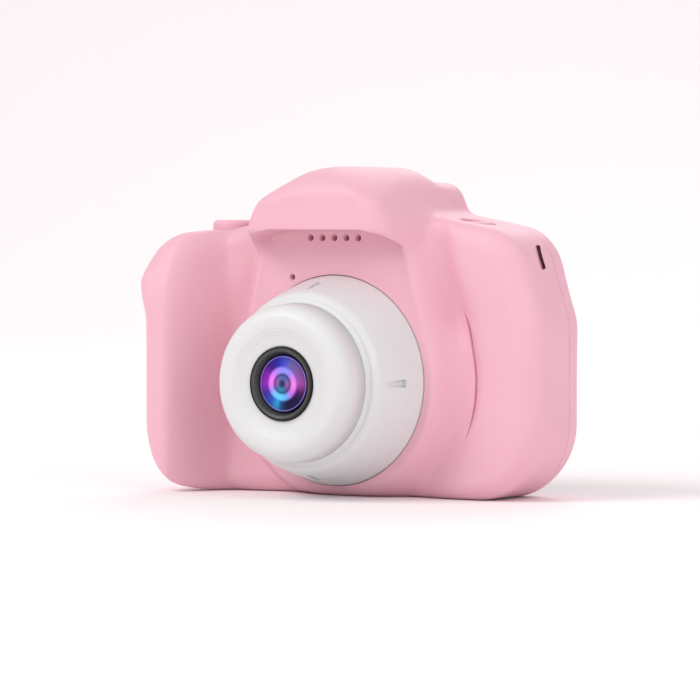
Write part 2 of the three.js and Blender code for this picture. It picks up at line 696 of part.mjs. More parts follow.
function makeElectronics(sensorBack) {
  const boardLeft = -halfWidth + boardMargin;
  const boardRight = halfWidth - boardMargin;
  const boardShape = roundedShape([
    [boardLeft, boardBottom, 8],
    [boardRight, boardBottom, 7],
    [boardRight, boardTop, 3],
    [boardLeft, boardTop, 4],
  ]);
  const board = cut(
    toSolid(plate(boardShape, boardFront, boardRear)),
    ...screwPlaces.map(([x, z]) => rod(bossRadius + 2 * fit, x, z, boardFront - 1, boardRear + 1, 12)),
    ...boardScrews.map(([x, z]) => rod(screwRadius + fit, x, z, boardFront - 1, boardRear + 1, 12)),
    strapBlock(seamY - 8 - fit, seamY + 1).translate(-fit, 0, -fit),
  );
  add('main_board', toGeometry(board), finish.board);
  const chipBack = boardFront - seat;
  add('processor_chip', box(-23, -14, chipBack - 1, chipBack, 22, 31), finish.black);
  add('camera_flex', ribbon([
    [lensX - 1, sensorBack + fit + seat],
    [lensX - 3.4, sensorBack + fit + 0.8],
    [-6.6, sensorBack + 3.6],
    [-7.6, sensorBack + 7],
    [-7.6, chipBack],
  ], 0.3, lensZ, 4.4), finish.amber);

  const cell = { x: 15.2, z: 20.6, y: boardFront - batteryThickness - 2.1 };
  const cellShape = roundedRectangle(cell.x, cell.z, batteryWidth, batteryHeight, 2);
  add('battery', plate(cellShape, cell.y, cell.y + batteryThickness), finish.foil);
  const cellTop = cell.z + batteryHeight / 2;
  const plugX = cell.x - 6;
  const plugZ = cellTop + 4;
  add('battery_plug', box(plugX - 3, plugX + 3, chipBack - 3.2, chipBack, plugZ - 2, plugZ + 2), finish.white);
  [['battery_lead_red', 1.4, finish.red], ['battery_lead_black', -1.4, finish.black]].forEach(([name, side, look]) => {
    const startX = cell.x + 3 * Math.sign(side) + 4;
    const cellMid = cell.y + batteryThickness / 2;
    add(name, lead([
      [startX, cellMid, cellTop + fit],
      [startX, cellMid + 0.3, cellTop + 2.2 + 0.6 * Math.sign(side)],
      [plugX + 5.5, cellMid + 1.2, plugZ + side * 0.7],
      [plugX + 3 + fit, chipBack - 1.8, plugZ + side * 0.7],
    ], 0.45), look);
  });

  const speakerY = collarY + wall + 0.1;
  add('speaker_gasket', turned([
    [speakerRadius - 1.6, speakerY],
    [speakerRadius, speakerY],
    [speakerRadius, speakerY + 0.6],
    [speakerRadius - 1.6, speakerY + 0.6],
  ], lensX, speakerZ, 20), finish.foam);
  const coneY = speakerY + 0.6 + seat;
  add('speaker', turned([
    [0, coneY + 1],
    [speakerRadius - 2, coneY + 0.4],
    [speakerRadius - 1.4, coneY],
    [speakerRadius, coneY],
    [speakerRadius, coneY + 1.6],
    [speakerRadius - 2.2, coneY + speakerDepth],
    [0, coneY + speakerDepth],
  ], lensX, speakerZ, 20), finish.black);
  [['speaker_lead_red', 1.6, finish.red], ['speaker_lead_black', -1.6, finish.black]].forEach(([name, x, look]) => {
    add(name, lead([
      [x, coneY + speakerDepth + fit, speakerZ - 2],
      [x, coneY + speakerDepth + 2, speakerZ - 3],
      [x, chipBack - 2.4, speakerZ - 5.4],
      [x, chipBack - fit, speakerZ - 6],
    ], 0.4), look);
  });
  const micY = collarY + wall + flangeThickness + 2 * fit;
  add('microphone', rod(micRadius, micX, micZ, micY, micY + micDepth, 16), finish.steel);

  const port = cut(
    toSolid(box(socketX - socketWidth / 2, socketX + socketWidth / 2, socketBack - socketDepth, socketBack, 0.6,
      0.6 + socketHeight)),
    box(socketX - socketWidth / 2 + 0.4, socketX + socketWidth / 2 - 0.4,
      socketBack - socketDepth + 0.4, socketBack - 0.4, -1, socketHeight - 0.8),
  );
  add('charging_socket', toGeometry(join(port,
    box(socketX - 1.8, socketX + 1.8, socketBack - socketDepth / 2 - 0.3, socketBack - socketDepth / 2 + 0.3, 1.4,
      socketHeight))), finish.steel);
  add('card_socket', toGeometry(cut(
    toSolid(box(slotX - slotWidth / 2, slotX + slotWidth / 2, socketBack - slotDepth, socketBack, 0.6,
      0.6 + slotLength)),
    box(slotX - slotWidth / 2 + 1.2, slotX + slotWidth / 2 - 1.2, socketBack - slotDepth + 0.3, socketBack - 0.4,
      -1, slotLength - 2),
  )), finish.steel);
}

function makeDisplay() {
  const trayFront = boardRear + seat;
  const trayDepth = windowFront - 1.2 - panelThickness - trayFront;
  const panel = { width: screenWidth - 1.6, height: screenHeight - 1.6 };
  add('display_tray', box(screenX - panel.width / 2, screenX + panel.width / 2, trayFront, trayFront + trayDepth,
    screenZ - panel.height / 2 + 1, screenZ + panel.height / 2 - 1), finish.white);
  const panelFront = trayFront + trayDepth + seat;
  add('display_panel', box(screenX - panel.width / 2, screenX + panel.width / 2, panelFront,
    panelFront + panelThickness - 2 * seat, screenZ - panel.height / 2, screenZ + panel.height / 2), finish.black);
  const gasketFront = panelFront + panelThickness - seat;
  const opening = { width: screenWidth - windowEdge - 2 * fit, height: screenHeight - windowEdge - 2 * fit };
  const frame = roundedRectangle(screenX, screenZ, opening.width, opening.height, 1);
  frame.holes.push(roundedRectangle(screenX, screenZ, opening.width - 1.6, opening.height - 1.6, 0.6));
  add('screen_gasket', plate(frame, gasketFront, windowFront - 2 * seat), finish.foam);
  const glass = roundedRectangle(screenX, screenZ, screenWidth, screenHeight, 2);
  add('screen_window', plate(glass, windowFront, windowFront + windowThickness), finish.black);
  const flexX = screenX + 4;
  const flexZ = screenZ - panel.height / 2 - seat;
  add('display_flex', box(flexX - 6, flexX + 6, trayFront, panelFront + 1, flexZ - 0.3, flexZ), finish.amber);
}

// ---- Keys, each with a cap, a plunger that moves with it and a fixed switch base ----

function switchBase(geometry, bore) {
  return toGeometry(cut(toSolid(geometry), bore));
}

function makeRearKey(key) {
  const base = boardRear + seat;
  const baseTop = base + switchHeight;
  const plungerTop = baseTop + plungerProud;
  const flangeRear = rearInner - seat;
  const half = switchSide / 2;
  add(`${key.name}_cap`, turned([
    [0, plungerTop + seat],
    [plungerRadius, plungerTop + seat],
    [plungerRadius, flangeRear - 0.9],
    [key.radius + keyFlange, flangeRear - 0.9],
    [key.radius + keyFlange, flangeRear],
    [key.radius, flangeRear],
    [key.radius, rearY + keyProud - 0.4],
    [key.radius - 0.4, rearY + keyProud],
    [0, rearY + keyProud],
  ], key.x, key.z, 16), finish.white);
  add(`${key.name}_plunger`, rod(plungerRadius, key.x, key.z, base + 0.9, plungerTop, 8), finish.black);
  add(`${key.name}_switch`, switchBase(
    box(key.x - half, key.x + half, base, baseTop, key.z - half, key.z + half),
    rod(plungerRadius + fit, key.x, key.z, base + 0.2, baseTop + 1, 8),
  ), finish.black);
}

function makeTopKey(key) {
  const flangeTop = key.top - keyGuard;
  const flangeBottom = flangeTop - 1;
  const plungerTop = flangeBottom - 1;
  const baseTop = plungerTop - plungerProud - key.travel + keyTravel;
  const baseBottom = baseTop - 3.2;
  add(`${key.name}_cap`, turnedUp([
    [0, plungerTop + seat],
    [plungerRadius, plungerTop + seat],
    [plungerRadius, flangeBottom],
    [key.radius + keyFlange, flangeBottom],
    [key.radius + keyFlange, flangeTop],
    [key.radius, flangeTop],
    [key.radius, key.top - 0.9],
    [key.radius - 0.9, key.top - 0.1],
    [0, key.top],
  ], key.x, key.y, 20), finish.pink);
  add(`${key.name}_plunger`, post(plungerRadius, key.x, key.y, baseBottom + 1.2, plungerTop, 8), finish.black);
  add(`${key.name}_switch`, switchBase(
    box(key.x - 3, key.x + 3, key.y - 2.6, boardFront - seat, baseBottom, baseTop),
    post(plungerRadius + fit, key.x, key.y, baseBottom + 0.2, baseTop + 1, 8),
  ), finish.black);
}

function makeScrew(name, x, z, headY, length) {
  add(name, turned([
    [0, headY - length],
    [screwRadius, headY - length + 0.8],
    [screwRadius, headY - screwHeadHeight],
    [screwHeadRadius, headY - screwHeadHeight],
    [screwHeadRadius, headY - 0.3],
    [screwHeadRadius - 0.5, headY],
    [0, headY],
  ], x, z, 8), finish.steel);
}

makeFrontShell();
makeRearShell();
const sensorBack = makeLens();
makeElectronics(sensorBack);
makeDisplay();
rearKeys.forEach(makeRearKey);
topKeys.forEach(makeTopKey);
const shellScrewHead = rearY - screwSink + screwHeadHeight + seat;
const boardScrewHead = boardRear + screwHeadHeight + seat;
screwPlaces.forEach(([x, z], i) => makeScrew(`shell_screw_${i + 1}`, x, z, shellScrewHead, screwLength));
boardScrews.forEach(([x, z], i) => makeScrew(`board_screw_${i + 1}`, x, z, boardScrewHead, boardScrewLength));

export default camera;
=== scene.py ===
"""Looks of a small children's digital camera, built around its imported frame.

Lengths in the classes are millimetres in the frame's own axes: +X to the right of a viewer who faces the
lens, +Y from the lens to the rear screen, +Z up. Meshes are written in metres.
"""

import json
import logging
import math
import sys
from dataclasses import dataclass, field
from enum import Enum
from typing import Iterable, Sequence

import bpy
import numpy as np
from mathutils import Matrix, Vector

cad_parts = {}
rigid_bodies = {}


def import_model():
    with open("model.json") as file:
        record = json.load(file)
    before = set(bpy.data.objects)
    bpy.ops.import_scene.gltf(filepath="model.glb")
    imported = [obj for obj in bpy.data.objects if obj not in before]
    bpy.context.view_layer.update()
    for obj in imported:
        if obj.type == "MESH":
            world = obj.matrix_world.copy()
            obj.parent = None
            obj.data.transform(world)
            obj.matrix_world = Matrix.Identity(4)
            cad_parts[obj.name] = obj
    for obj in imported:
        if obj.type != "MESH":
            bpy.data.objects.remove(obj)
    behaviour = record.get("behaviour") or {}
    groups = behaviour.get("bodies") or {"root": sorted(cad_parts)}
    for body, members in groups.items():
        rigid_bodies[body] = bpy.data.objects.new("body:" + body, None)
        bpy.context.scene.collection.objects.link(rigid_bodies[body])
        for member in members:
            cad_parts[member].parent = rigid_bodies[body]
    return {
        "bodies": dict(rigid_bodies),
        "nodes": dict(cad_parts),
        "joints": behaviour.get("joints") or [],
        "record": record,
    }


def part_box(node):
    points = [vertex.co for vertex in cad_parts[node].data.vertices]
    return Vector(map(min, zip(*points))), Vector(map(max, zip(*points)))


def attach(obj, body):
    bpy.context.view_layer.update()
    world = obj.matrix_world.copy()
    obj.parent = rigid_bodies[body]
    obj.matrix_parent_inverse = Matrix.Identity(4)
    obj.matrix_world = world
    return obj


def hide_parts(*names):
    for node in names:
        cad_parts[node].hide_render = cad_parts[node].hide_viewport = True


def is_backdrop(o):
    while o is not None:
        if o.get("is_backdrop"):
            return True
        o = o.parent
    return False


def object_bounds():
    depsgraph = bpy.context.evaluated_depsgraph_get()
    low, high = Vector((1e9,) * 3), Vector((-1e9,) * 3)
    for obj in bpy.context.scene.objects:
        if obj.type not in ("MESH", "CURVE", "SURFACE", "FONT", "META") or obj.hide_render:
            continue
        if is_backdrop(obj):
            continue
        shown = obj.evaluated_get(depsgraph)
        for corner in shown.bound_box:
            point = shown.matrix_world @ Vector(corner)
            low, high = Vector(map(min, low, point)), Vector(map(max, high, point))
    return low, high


LOG = logging.getLogger("camera")
MM = 0.001  # metres
Array = np.ndarray
Colour = tuple[float, float, float]
Stop = tuple[float, Colour]
KEY_FLANGE = 0.5  # how far a key cap's flange stands out from its wall
SCREW_COUNT = 4
REAR_KEYS = ("mode_key", "up_key", "down_key", "left_key", "right_key", "ok_key")
TOP_KEYS = ("shutter_key", "power_key")
STRAP_BLOCK = (32.05, 41.5, 39.8, 47.4)  # left, right, bottom and top of the block round the strap slot


class Axis(Enum):
    """The axis that a turned piece goes round."""

    DEPTH = "y"
    HEIGHT = "z"


# ---------------------------------------------------------------------------------------------------------
# Curves and grids
# ---------------------------------------------------------------------------------------------------------


def ease(low: float | Array, high: float | Array, value: Array) -> Array:
    """Smooth step: 3t squared minus 2t cubed, where t runs from 0 at low to 1 at high.

    Args:
        low: value where the step starts.
        high: value where it ends.
        value: where it is wanted.

    Returns:
        Numbers from 0 to 1, shaped as value.
    """
    t = np.clip((value - low) / (high - low), 0.0, 1.0)
    return t * t * (3.0 - 2.0 * t)


def rounded_path(corners: Sequence[Sequence[float]], steps: int = 8, closed: bool = True) -> Array:
    """Straight sides joined by tangent arcs.

    Each arc's centre lies on the corner's bisector at radius / sin(half angle), and its ends lie
    radius / tan(half angle) from the corner along the two sides.

    Args:
        corners: [a, b, radius] corners in order.
        steps: points on each arc.
        closed: whether the last corner joins the first.

    Returns:
        Points, one row each.
    """
    spots = np.array([c[:2] for c in corners], float)
    radii = [c[2] if len(c) > 2 else 0.0 for c in corners]
    out: list[Array] = []
    count = len(spots)
    for i in range(count):
        here = spots[i]
        at_end = not closed and i in (0, count - 1)
        if at_end or radii[i] <= 0:
            out.append(here[None])
            continue
        to_before = spots[i - 1] - here
        to_after = spots[(i + 1) % count] - here
        to_before /= np.linalg.norm(to_before)
        to_after /= np.linalg.norm(to_after)
        half = math.acos(float(np.clip(to_before @ to_after, -1, 1))) / 2
        if abs(half - math.pi / 2) < 1e-4:
            out.append(here[None])
            continue
        middle = to_before + to_after
        centre = here + middle / np.linalg.norm(middle) * radii[i] / math.sin(half)
        start = here + to_before * radii[i] / math.tan(half) - centre
        end = here + to_after * radii[i] / math.tan(half) - centre
        first = math.atan2(start[1], start[0])
        sweep = math.atan2(end[1], end[0]) - first
        sweep = (sweep + math.pi) % (2 * math.pi) - math.pi
        angles = first + sweep * np.linspace(0, 1, steps)
        out.append(centre + radii[i] * np.stack([np.cos(angles), np.sin(angles)], 1))
    return np.concatenate(out)


def resample(path: Array, count: int, soften: float = 0.0) -> Array:
    """A closed path as evenly spaced points, with a Gaussian blur of its own length to ease its arcs in.

    Args:
        path: points of a closed path.
        count: points wanted.
        soften: blur's standard deviation, in the path's own units.

    Returns:
        The new points.
    """
    loop = np.vstack([path, path[:1]])
    run = np.concatenate([[0], np.cumsum(np.linalg.norm(np.diff(loop, axis=0), axis=1))])
    wanted = np.linspace(0, run[-1], count, endpoint=False)
    even = np.stack([np.interp(wanted, run, loop[:, k]) for k in range(2)], 1)
    if soften <= 0:
        return even
    frequency = np.fft.fftfreq(count, run[-1] / count)
    keep = np.exp(-2 * (math.pi * frequency * soften) ** 2)
    return np.stack([np.fft.ifft(np.fft.fft(even[:, k]) * keep).real for k in range(2)], 1)


def outward(path: Array) -> Array:
    """Unit normals of a closed path that runs anticlockwise: its tangents turned a quarter turn right."""
    along = np.roll(path, -1, 0) - np.roll(path, 1, 0)
    normal = np.stack([along[:, 1], -along[:, 0]], 1)
    return normal / np.linalg.norm(normal, axis=1, keepdims=True)


def within_bend(path: Array, reach: Array, share: float = 0.72, blur: float = 2.2) -> Array:
    """Limits an inset to a share of the path's own radius of bend, eased along the path.

    Args:
        path: an evenly spaced closed path.
        reach: the inset wanted at each point.
        share: most of the radius that it may take up.
        blur: standard deviation of the easing, in the path's units.

    Returns:
        The inset at each point.
    """
    step = np.roll(path, -1, 0) - path
    run = np.linalg.norm(step, axis=1)
    angle = np.unwrap(np.arctan2(step[:, 1], step[:, 0]))
    bend = (angle - np.roll(angle, 1)) / run
    bend[0] = bend[1]
    limit = np.minimum(reach, share / np.maximum(bend, 1e-3))
    window = max(1, int(2.0 * blur / run.mean()))
    lowest = np.min([np.roll(limit, k) for k in range(-window, window + 1)], axis=0)
    frequency = np.fft.fftfreq(len(path), run.mean())
    keep = np.exp(-2 * (math.pi * frequency * blur) ** 2)
    return np.fft.ifft(np.fft.fft(lowest) * keep).real


def nearest(points: Array, path: Array, normals: Array) -> tuple[Array, Array]:
    """Depth inside a closed path, by the closest of its points, and which point that is.

    Args:
        points: where it is wanted, one row each.
        path: the path's points.
        normals: their outward normals.

    Returns:
        Depth, positive inside, and the index of the closest point.
    """
    depth = np.empty(len(points))
    index = np.empty(len(points), int)
    block = 4000
    for start in range(0, len(points), block):
        part = points[start:start + block]
        gap = ((part[:, None, :] - path[None]) ** 2).sum(2)
        best = gap.argmin(1)
        index[start:start + block] = best
        depth[start:start + block] = ((path[best] - part) * normals[best]).sum(1)
    return depth, index


def write_mesh(name: str, points: Array, faces: Array, extra: Iterable[Array] = ()) -> bpy.types.Object:
    """A new object from points in millimetres and its faces, turned inside out if its volume is negative.

    Args:
        name: the piece's name.
        points: one row for each vertex.
        faces: quads, one row each.
        extra: further faces of other counts, each an array with one row for each face.

    Returns:
        The object, shaded smooth.
    """
    sets = [f for f in [faces, *extra] if len(f)]
    fans = np.concatenate([np.stack([f[:, 0], f[:, k], f[:, k + 1]], 1) for f in sets
                           for k in range(1, f.shape[1] - 1)])
    a, b, c = (points[fans[:, k]] for k in range(3))
    if (a * np.cross(b, c)).sum() < 0:
        sets = [f[:, ::-1] for f in sets]
    loops = np.concatenate([f.ravel() for f in sets])
    sizes = np.concatenate([np.full(len(f), f.shape[1]) for f in sets])
    mesh = bpy.data.meshes.new(name)
    mesh.vertices.add(len(points))
    mesh.vertices.foreach_set("co", (points * MM).astype(np.float32).ravel())
    mesh.loops.add(len(loops))
    mesh.loops.foreach_set("vertex_index", loops.astype(np.int32))
    mesh.polygons.add(len(sizes))
    mesh.polygons.foreach_set("loop_start", (np.cumsum(sizes) - sizes).astype(np.int32))
    mesh.update(calc_edges=True)
    mesh.validate()
    mesh.shade_smooth()
    piece = bpy.data.objects.new(name, mesh)
    bpy.context.scene.collection.objects.link(piece)
    return piece


def ring_quads(rings: int, around: int, joined: bool = False) -> Array:
    """Quads between neighbouring rings of points.

    Args:
        rings: how many rings there are.
        around: points on each.
        joined: whether the last ring joins the first.

    Returns:
        Point numbers, one row for each quad.
    """
    k, i = np.meshgrid(np.arange(rings if joined else rings - 1), np.arange(around), indexing="ij")
    k2, i2 = (k + 1) % rings, (i + 1) % around
    return np.stack([k * around + i, k2 * around + i, k2 * around + i2, k * around + i2], 2).reshape(-1, 4)


def pole_fans(rings: int, around: int) -> list[Array]:
    """Triangles from two poles, numbered after the rings' points, to the first and the last ring."""
    ring = np.arange(around)
    after = (ring + 1) % around
    pole = np.full(around, rings * around)
    top = (rings - 1) * around
    return [np.stack([pole, ring, after], 1), np.stack([pole + 1, top + after, top + ring], 1)]


def loft(name: str, rings: Sequence[Array], poles: Array | None = None) -> bpy.types.Object:
    """A closed body through rings, with a pole at each end.

    Args:
        name: the piece's name.
        rings: loops of points, all of one length.
        poles: the two poles; the middles of the first and last rings if they aren't given.

    Returns:
        The object.
    """
    stack = np.stack(rings)
    count, around = stack.shape[:2]
    ends = np.stack([stack[0].mean(0), stack[-1].mean(0)]) if poles is None else poles
    points = np.vstack([stack.reshape(-1, 3), ends])
    return write_mesh(name, points, ring_quads(count, around), pole_fans(count, around))


def turned(name: str, profile: Array, centre: tuple[float, float], axis: Axis = Axis.DEPTH,
           segments: int = 128) -> bpy.types.Object:
    """A profile carried round an axis: radius times cosine and sine across it, height along it.

    A profile that starts and ends at radius 0 is closed by a pole at each end. Any other is a closed loop.

    Args:
        name: the piece's name.
        profile: [radius, height along the axis] points.
        centre: where the axis crosses the other two directions.
        axis: which way it runs.
        segments: steps round the axis.

    Returns:
        The object.
    """
    poles = profile[0, 0] <= 1e-9
    body = profile[1:-1] if poles else profile
    angle = np.linspace(0, 2 * math.pi, segments, endpoint=False)
    across = body[:, 0, None] * np.cos(angle)
    up = body[:, 0, None] * np.sin(angle)
    along = np.repeat(body[:, 1, None], segments, 1)
    order = (across, along, up) if axis is Axis.DEPTH else (across, up, along)
    points = np.stack(order, 2).reshape(-1, 3)
    count = len(body)
    quads = ring_quads(count, segments, joined=not poles)[:, [0, 3, 2, 1]]
    extra = []
    if poles:
        ends = np.array([[0, profile[0, 1], 0], [0, profile[-1, 1], 0]], float)
        points = np.vstack([points, ends if axis is Axis.DEPTH else ends[:, [0, 2, 1]]])
        extra = [fan[:, [0, 2, 1]] for fan in pole_fans(count, segments)]
    shift = [centre[0], 0, centre[1]] if axis is Axis.DEPTH else [centre[0], centre[1], 0]
    return write_mesh(name, points + np.array(shift), quads, extra)


def slab(name: str, path: Array, low: float, high: float, edge: float = 0.0, steps: int = 4) -> bpy.types.Object:
    """A flat shape in the X-Z plane, given a thickness along Y, with round edges.

    Its rings are the path moved inwards by edge times (1 - cosine) while y moves by edge times (1 - sine),
    closed at each face by rings that shrink towards the path's centre.

    Args:
        name: the piece's name.
        path: its outline, anticlockwise.
        low: lowest y.
        high: highest y.
        edge: radius of both rims.
        steps: points on each rim's arc.

    Returns:
        The object.
    """
    normal = outward(path)
    centre = path.mean(0)
    quarter = np.linspace(0, math.pi / 2, steps) if edge > 0 else np.array([0.0])
    rims = [(edge * (1 - math.sin(t)), edge * (1 - math.cos(t))) for t in quarter]
    faces = [centre + (path - normal * edge - centre) * scale for scale in (0.15, 0.4, 0.7)]
    rings = [np.insert(face, 1, low, axis=1) for face in faces]
    rings += [np.insert(path - normal * inset, 1, low + lift, axis=1) for inset, lift in rims]
    rings += [np.insert(path - normal * inset, 1, high - lift, axis=1) for inset, lift in rims[::-1]]
    rings += [np.insert(face, 1, high, axis=1) for face in faces[::-1]]
    return loft(name, rings, np.array([[centre[0], low, centre[1]], [centre[0], high, centre[1]]]))


def block(name: str, left: float, right: float, bottom: float, top: float, low: float, high: float
          ) -> bpy.types.Object:
    """A plain block, by its limits along X, Z and Y."""
    return slab(name, rounded_path([[left, bottom, 0], [right, bottom, 0], [right, top, 0], [left, top, 0]]),
                low, high)


def carve(piece: bpy.types.Object, tools: Sequence[bpy.types.Object], crease: float = 32.0) -> None:
    """Cuts closed tools out of a closed piece, and keeps its edges sharper than crease degrees.

    Args:
        piece: what is cut.
        tools: what is taken out of it; they are removed afterwards.
        crease: angle in degrees from which an edge stays sharp.
    """
    for tool in tools:
        cut = piece.modifiers.new("cut", "BOOLEAN")
        cut.operation = "DIFFERENCE"
        cut.solver = "MANIFOLD"
        cut.object = tool
    bpy.context.view_layer.update()
    graph = bpy.context.evaluated_depsgraph_get()
    result = bpy.data.meshes.new_from_object(piece.evaluated_get(graph))
    piece.modifiers.clear()
    piece.data = result
    for tool in tools:
        bpy.data.objects.remove(tool)
    result.shade_smooth()
    result.set_sharp_from_angle(angle=math.radians(crease))


# ---------------------------------------------------------------------------------------------------------
# Finishes
# ---------------------------------------------------------------------------------------------------------


class Nodes:
    """A material under construction."""

    def __init__(self, name: str) -> None:
        """Starts a material with only its Principled shader and output.

        Args:
            name: the material's name.
        """
        self.material = bpy.data.materials.new(name)
        self.material.use_nodes = True
        self.tree = self.material.node_tree
        self.shader = self.tree.nodes["Principled BSDF"]

    def add(self, kind: str, **values: object) -> bpy.types.Node:
        """A new node with its own properties and named input values.

        Args:
            kind: the node's type.
            **values: properties, or inputs written with a leading "in_".

        Returns:
            The node.
        """
        node = self.tree.nodes.new(kind)
        for key, value in values.items():
            if key.startswith("in_"):
                node.inputs[key[3:].replace("_", " ")].default_value = value
            else:
                setattr(node, key, value)
        return node

    def link(self, source: bpy.types.NodeSocket, target: bpy.types.NodeSocket) -> None:
        """Joins two sockets."""
        self.tree.links.new(source, target)

    def noise(self, scale: float, detail: float = 3.0) -> bpy.types.Node:
        """Noise on object coordinates, with about scale cells to the metre."""
        where = self.add("ShaderNodeTexCoord")
        noise = self.add("ShaderNodeTexNoise", in_Scale=scale, in_Detail=detail)
        self.link(where.outputs["Object"], noise.inputs["Vector"])
        return noise

    def spread(self, source: bpy.types.NodeSocket, low: float, high: float) -> bpy.types.NodeSocket:
        """Maps a value from 0.3 to 0.7 on to low to high."""
        ranger = self.add("ShaderNodeMapRange")
        ranger.inputs["From Min"].default_value = 0.3
        ranger.inputs["From Max"].default_value = 0.7
        ranger.inputs["To Min"].default_value = low
        ranger.inputs["To Max"].default_value = high
        self.link(source, ranger.inputs["Value"])
        return ranger.outputs["Result"]

    def blend(self, factor: bpy.types.NodeSocket, first: Sequence[float], second: Sequence[float]
              ) -> bpy.types.NodeSocket:
        """A colour between two, by a factor."""
        mix = self.add("ShaderNodeMix", data_type="RGBA")
        for socket, colour in zip([s for s in mix.inputs if s.type == "RGBA"], (first, second)):
            socket.default_value = (*colour, 1)
        self.link(factor, mix.inputs["Factor"])
        return next(s for s in mix.outputs if s.type == "RGBA")

    def join(self, kind: str, first: bpy.types.NodeSocket, second: bpy.types.NodeSocket,
             factor: bpy.types.NodeSocket | None = None) -> bpy.types.NodeSocket:
        """Two colours joined by a mix node.

        Args:
            kind: the node's blend type.
            first: the colour underneath.
            second: the colour put on it.
            factor: how far; all the way if it isn't given.

        Returns:
            The colour.
        """
        mix = self.add("ShaderNodeMix", data_type="RGBA", blend_type=kind)
        if factor is None:
            mix.inputs["Factor"].default_value = 1.0
        else:
            self.link(factor, mix.inputs["Factor"])
        for source, socket in zip((first, second), [s for s in mix.inputs if s.type == "RGBA"]):
            self.link(source, socket)
        return next(s for s in mix.outputs if s.type == "RGBA")

    def remap(self, source: bpy.types.NodeSocket, low: float, high: float, kind: str = "LINEAR"
              ) -> bpy.types.NodeSocket:
        """Maps a value from low to high on to 0 to 1."""
        ranger = self.add("ShaderNodeMapRange", interpolation_type=kind)
        ranger.inputs["From Min"].default_value = low
        ranger.inputs["From Max"].default_value = high
        self.link(source, ranger.inputs["Value"])
        return ranger.outputs["Result"]

    def ramp(self, factor: bpy.types.NodeSocket, stops: Sequence[Stop]) -> bpy.types.NodeSocket:
        """A colour ramp through stops, each a position from 0 to 1 and its colour."""
        ramp = self.add("ShaderNodeValToRGB")
        bar = ramp.color_ramp.elements
        for stop, (position, colour) in ((bar[0], stops[0]), (bar[1], stops[-1])):
            stop.position, stop.color = position, (*colour, 1)
        for position, colour in stops[1:-1]:
            bar.new(position).color = (*colour, 1)
        self.link(factor, ramp.inputs["Fac"])
        return ramp.outputs["Color"]

    def bump(self, source: bpy.types.NodeSocket, depth: float, strength: float = 1.0) -> None:
        """Raises the surface by up to depth metres, by a value."""
        bump = self.add("ShaderNodeBump", in_Strength=strength, in_Distance=depth)
        self.link(source, bump.inputs["Height"])
        self.link(bump.outputs["Normal"], self.shader.inputs["Normal"])

    def set(self, **values: object) -> None:
        """Sets the shader's own sockets, with _ for a space."""
        for key, value in values.items():
            self.shader.inputs[key.replace("_", " ")].default_value = value


@dataclass(frozen=True)
class Plastic:
    """A moulded plastic: fine spark-eroded grain, faint cloudiness of colour and handling marks in its gloss.

    Attributes:
        name: the material's name.
        colour: its main colour.
        shade: the colour of its cloudier spots.
        roughness: lowest and highest roughness.
        grain: height of the mould's grain, in millimetres.
        grain_scale: grains to the metre.
        coat: strength of a clear top layer.
        scatter: how much light goes through the surface.
        specular: strength of the surface's reflection.
    """

    name: str
    colour: Colour
    shade: Colour
    roughness: tuple[float, float] = (0.42, 0.52)
    grain: float = 0.006
    grain_scale: float = 3200.0
    coat: float = 0.0
    scatter: float = 0.0
    specular: float = 0.4

    def make(self) -> bpy.types.Material:
        """Builds the material."""
        nodes = Nodes(self.name)
        cloud = nodes.noise(38.0, 4.0)
        smear = nodes.noise(95.0, 6.0)
        grain = nodes.noise(self.grain_scale, 2.0)
        colour = nodes.blend(nodes.spread(cloud.outputs[0], 0.0, 1.0), self.colour, self.shade)
        nodes.link(colour, nodes.shader.inputs["Base Color"])
        nodes.link(nodes.spread(smear.outputs[0], *self.roughness), nodes.shader.inputs["Roughness"])
        nodes.bump(grain.outputs[0], self.grain * MM)
        nodes.set(Coat_Weight=self.coat, Coat_Roughness=0.12, Specular_IOR_Level=self.specular)
        if self.scatter:
            nodes.set(Subsurface_Weight=self.scatter, Subsurface_Radius=(1.0, 0.55, 0.5), Subsurface_Scale=0.0012)
        return nodes.material


@dataclass(frozen=True)
class Metal:
    """Plated or brushed metal with fine scratches in its gloss."""

    name: str
    colour: Colour
    roughness: tuple[float, float] = (0.25, 0.45)

    def make(self) -> bpy.types.Material:
        """Builds the material."""
        nodes = Nodes(self.name)
        scratch = nodes.noise(900.0, 5.0)
        cloud = nodes.noise(120.0, 3.0)
        darker = tuple(0.8 * c for c in self.colour)
        colour = nodes.blend(nodes.spread(cloud.outputs[0], 0.0, 1.0), self.colour, darker)
        nodes.link(colour, nodes.shader.inputs["Base Color"])
        nodes.link(nodes.spread(scratch.outputs[0], *self.roughness), nodes.shader.inputs["Roughness"])
        nodes.bump(scratch.outputs[0], 0.004 * MM)
        nodes.set(Metallic=1.0)
        return nodes.material


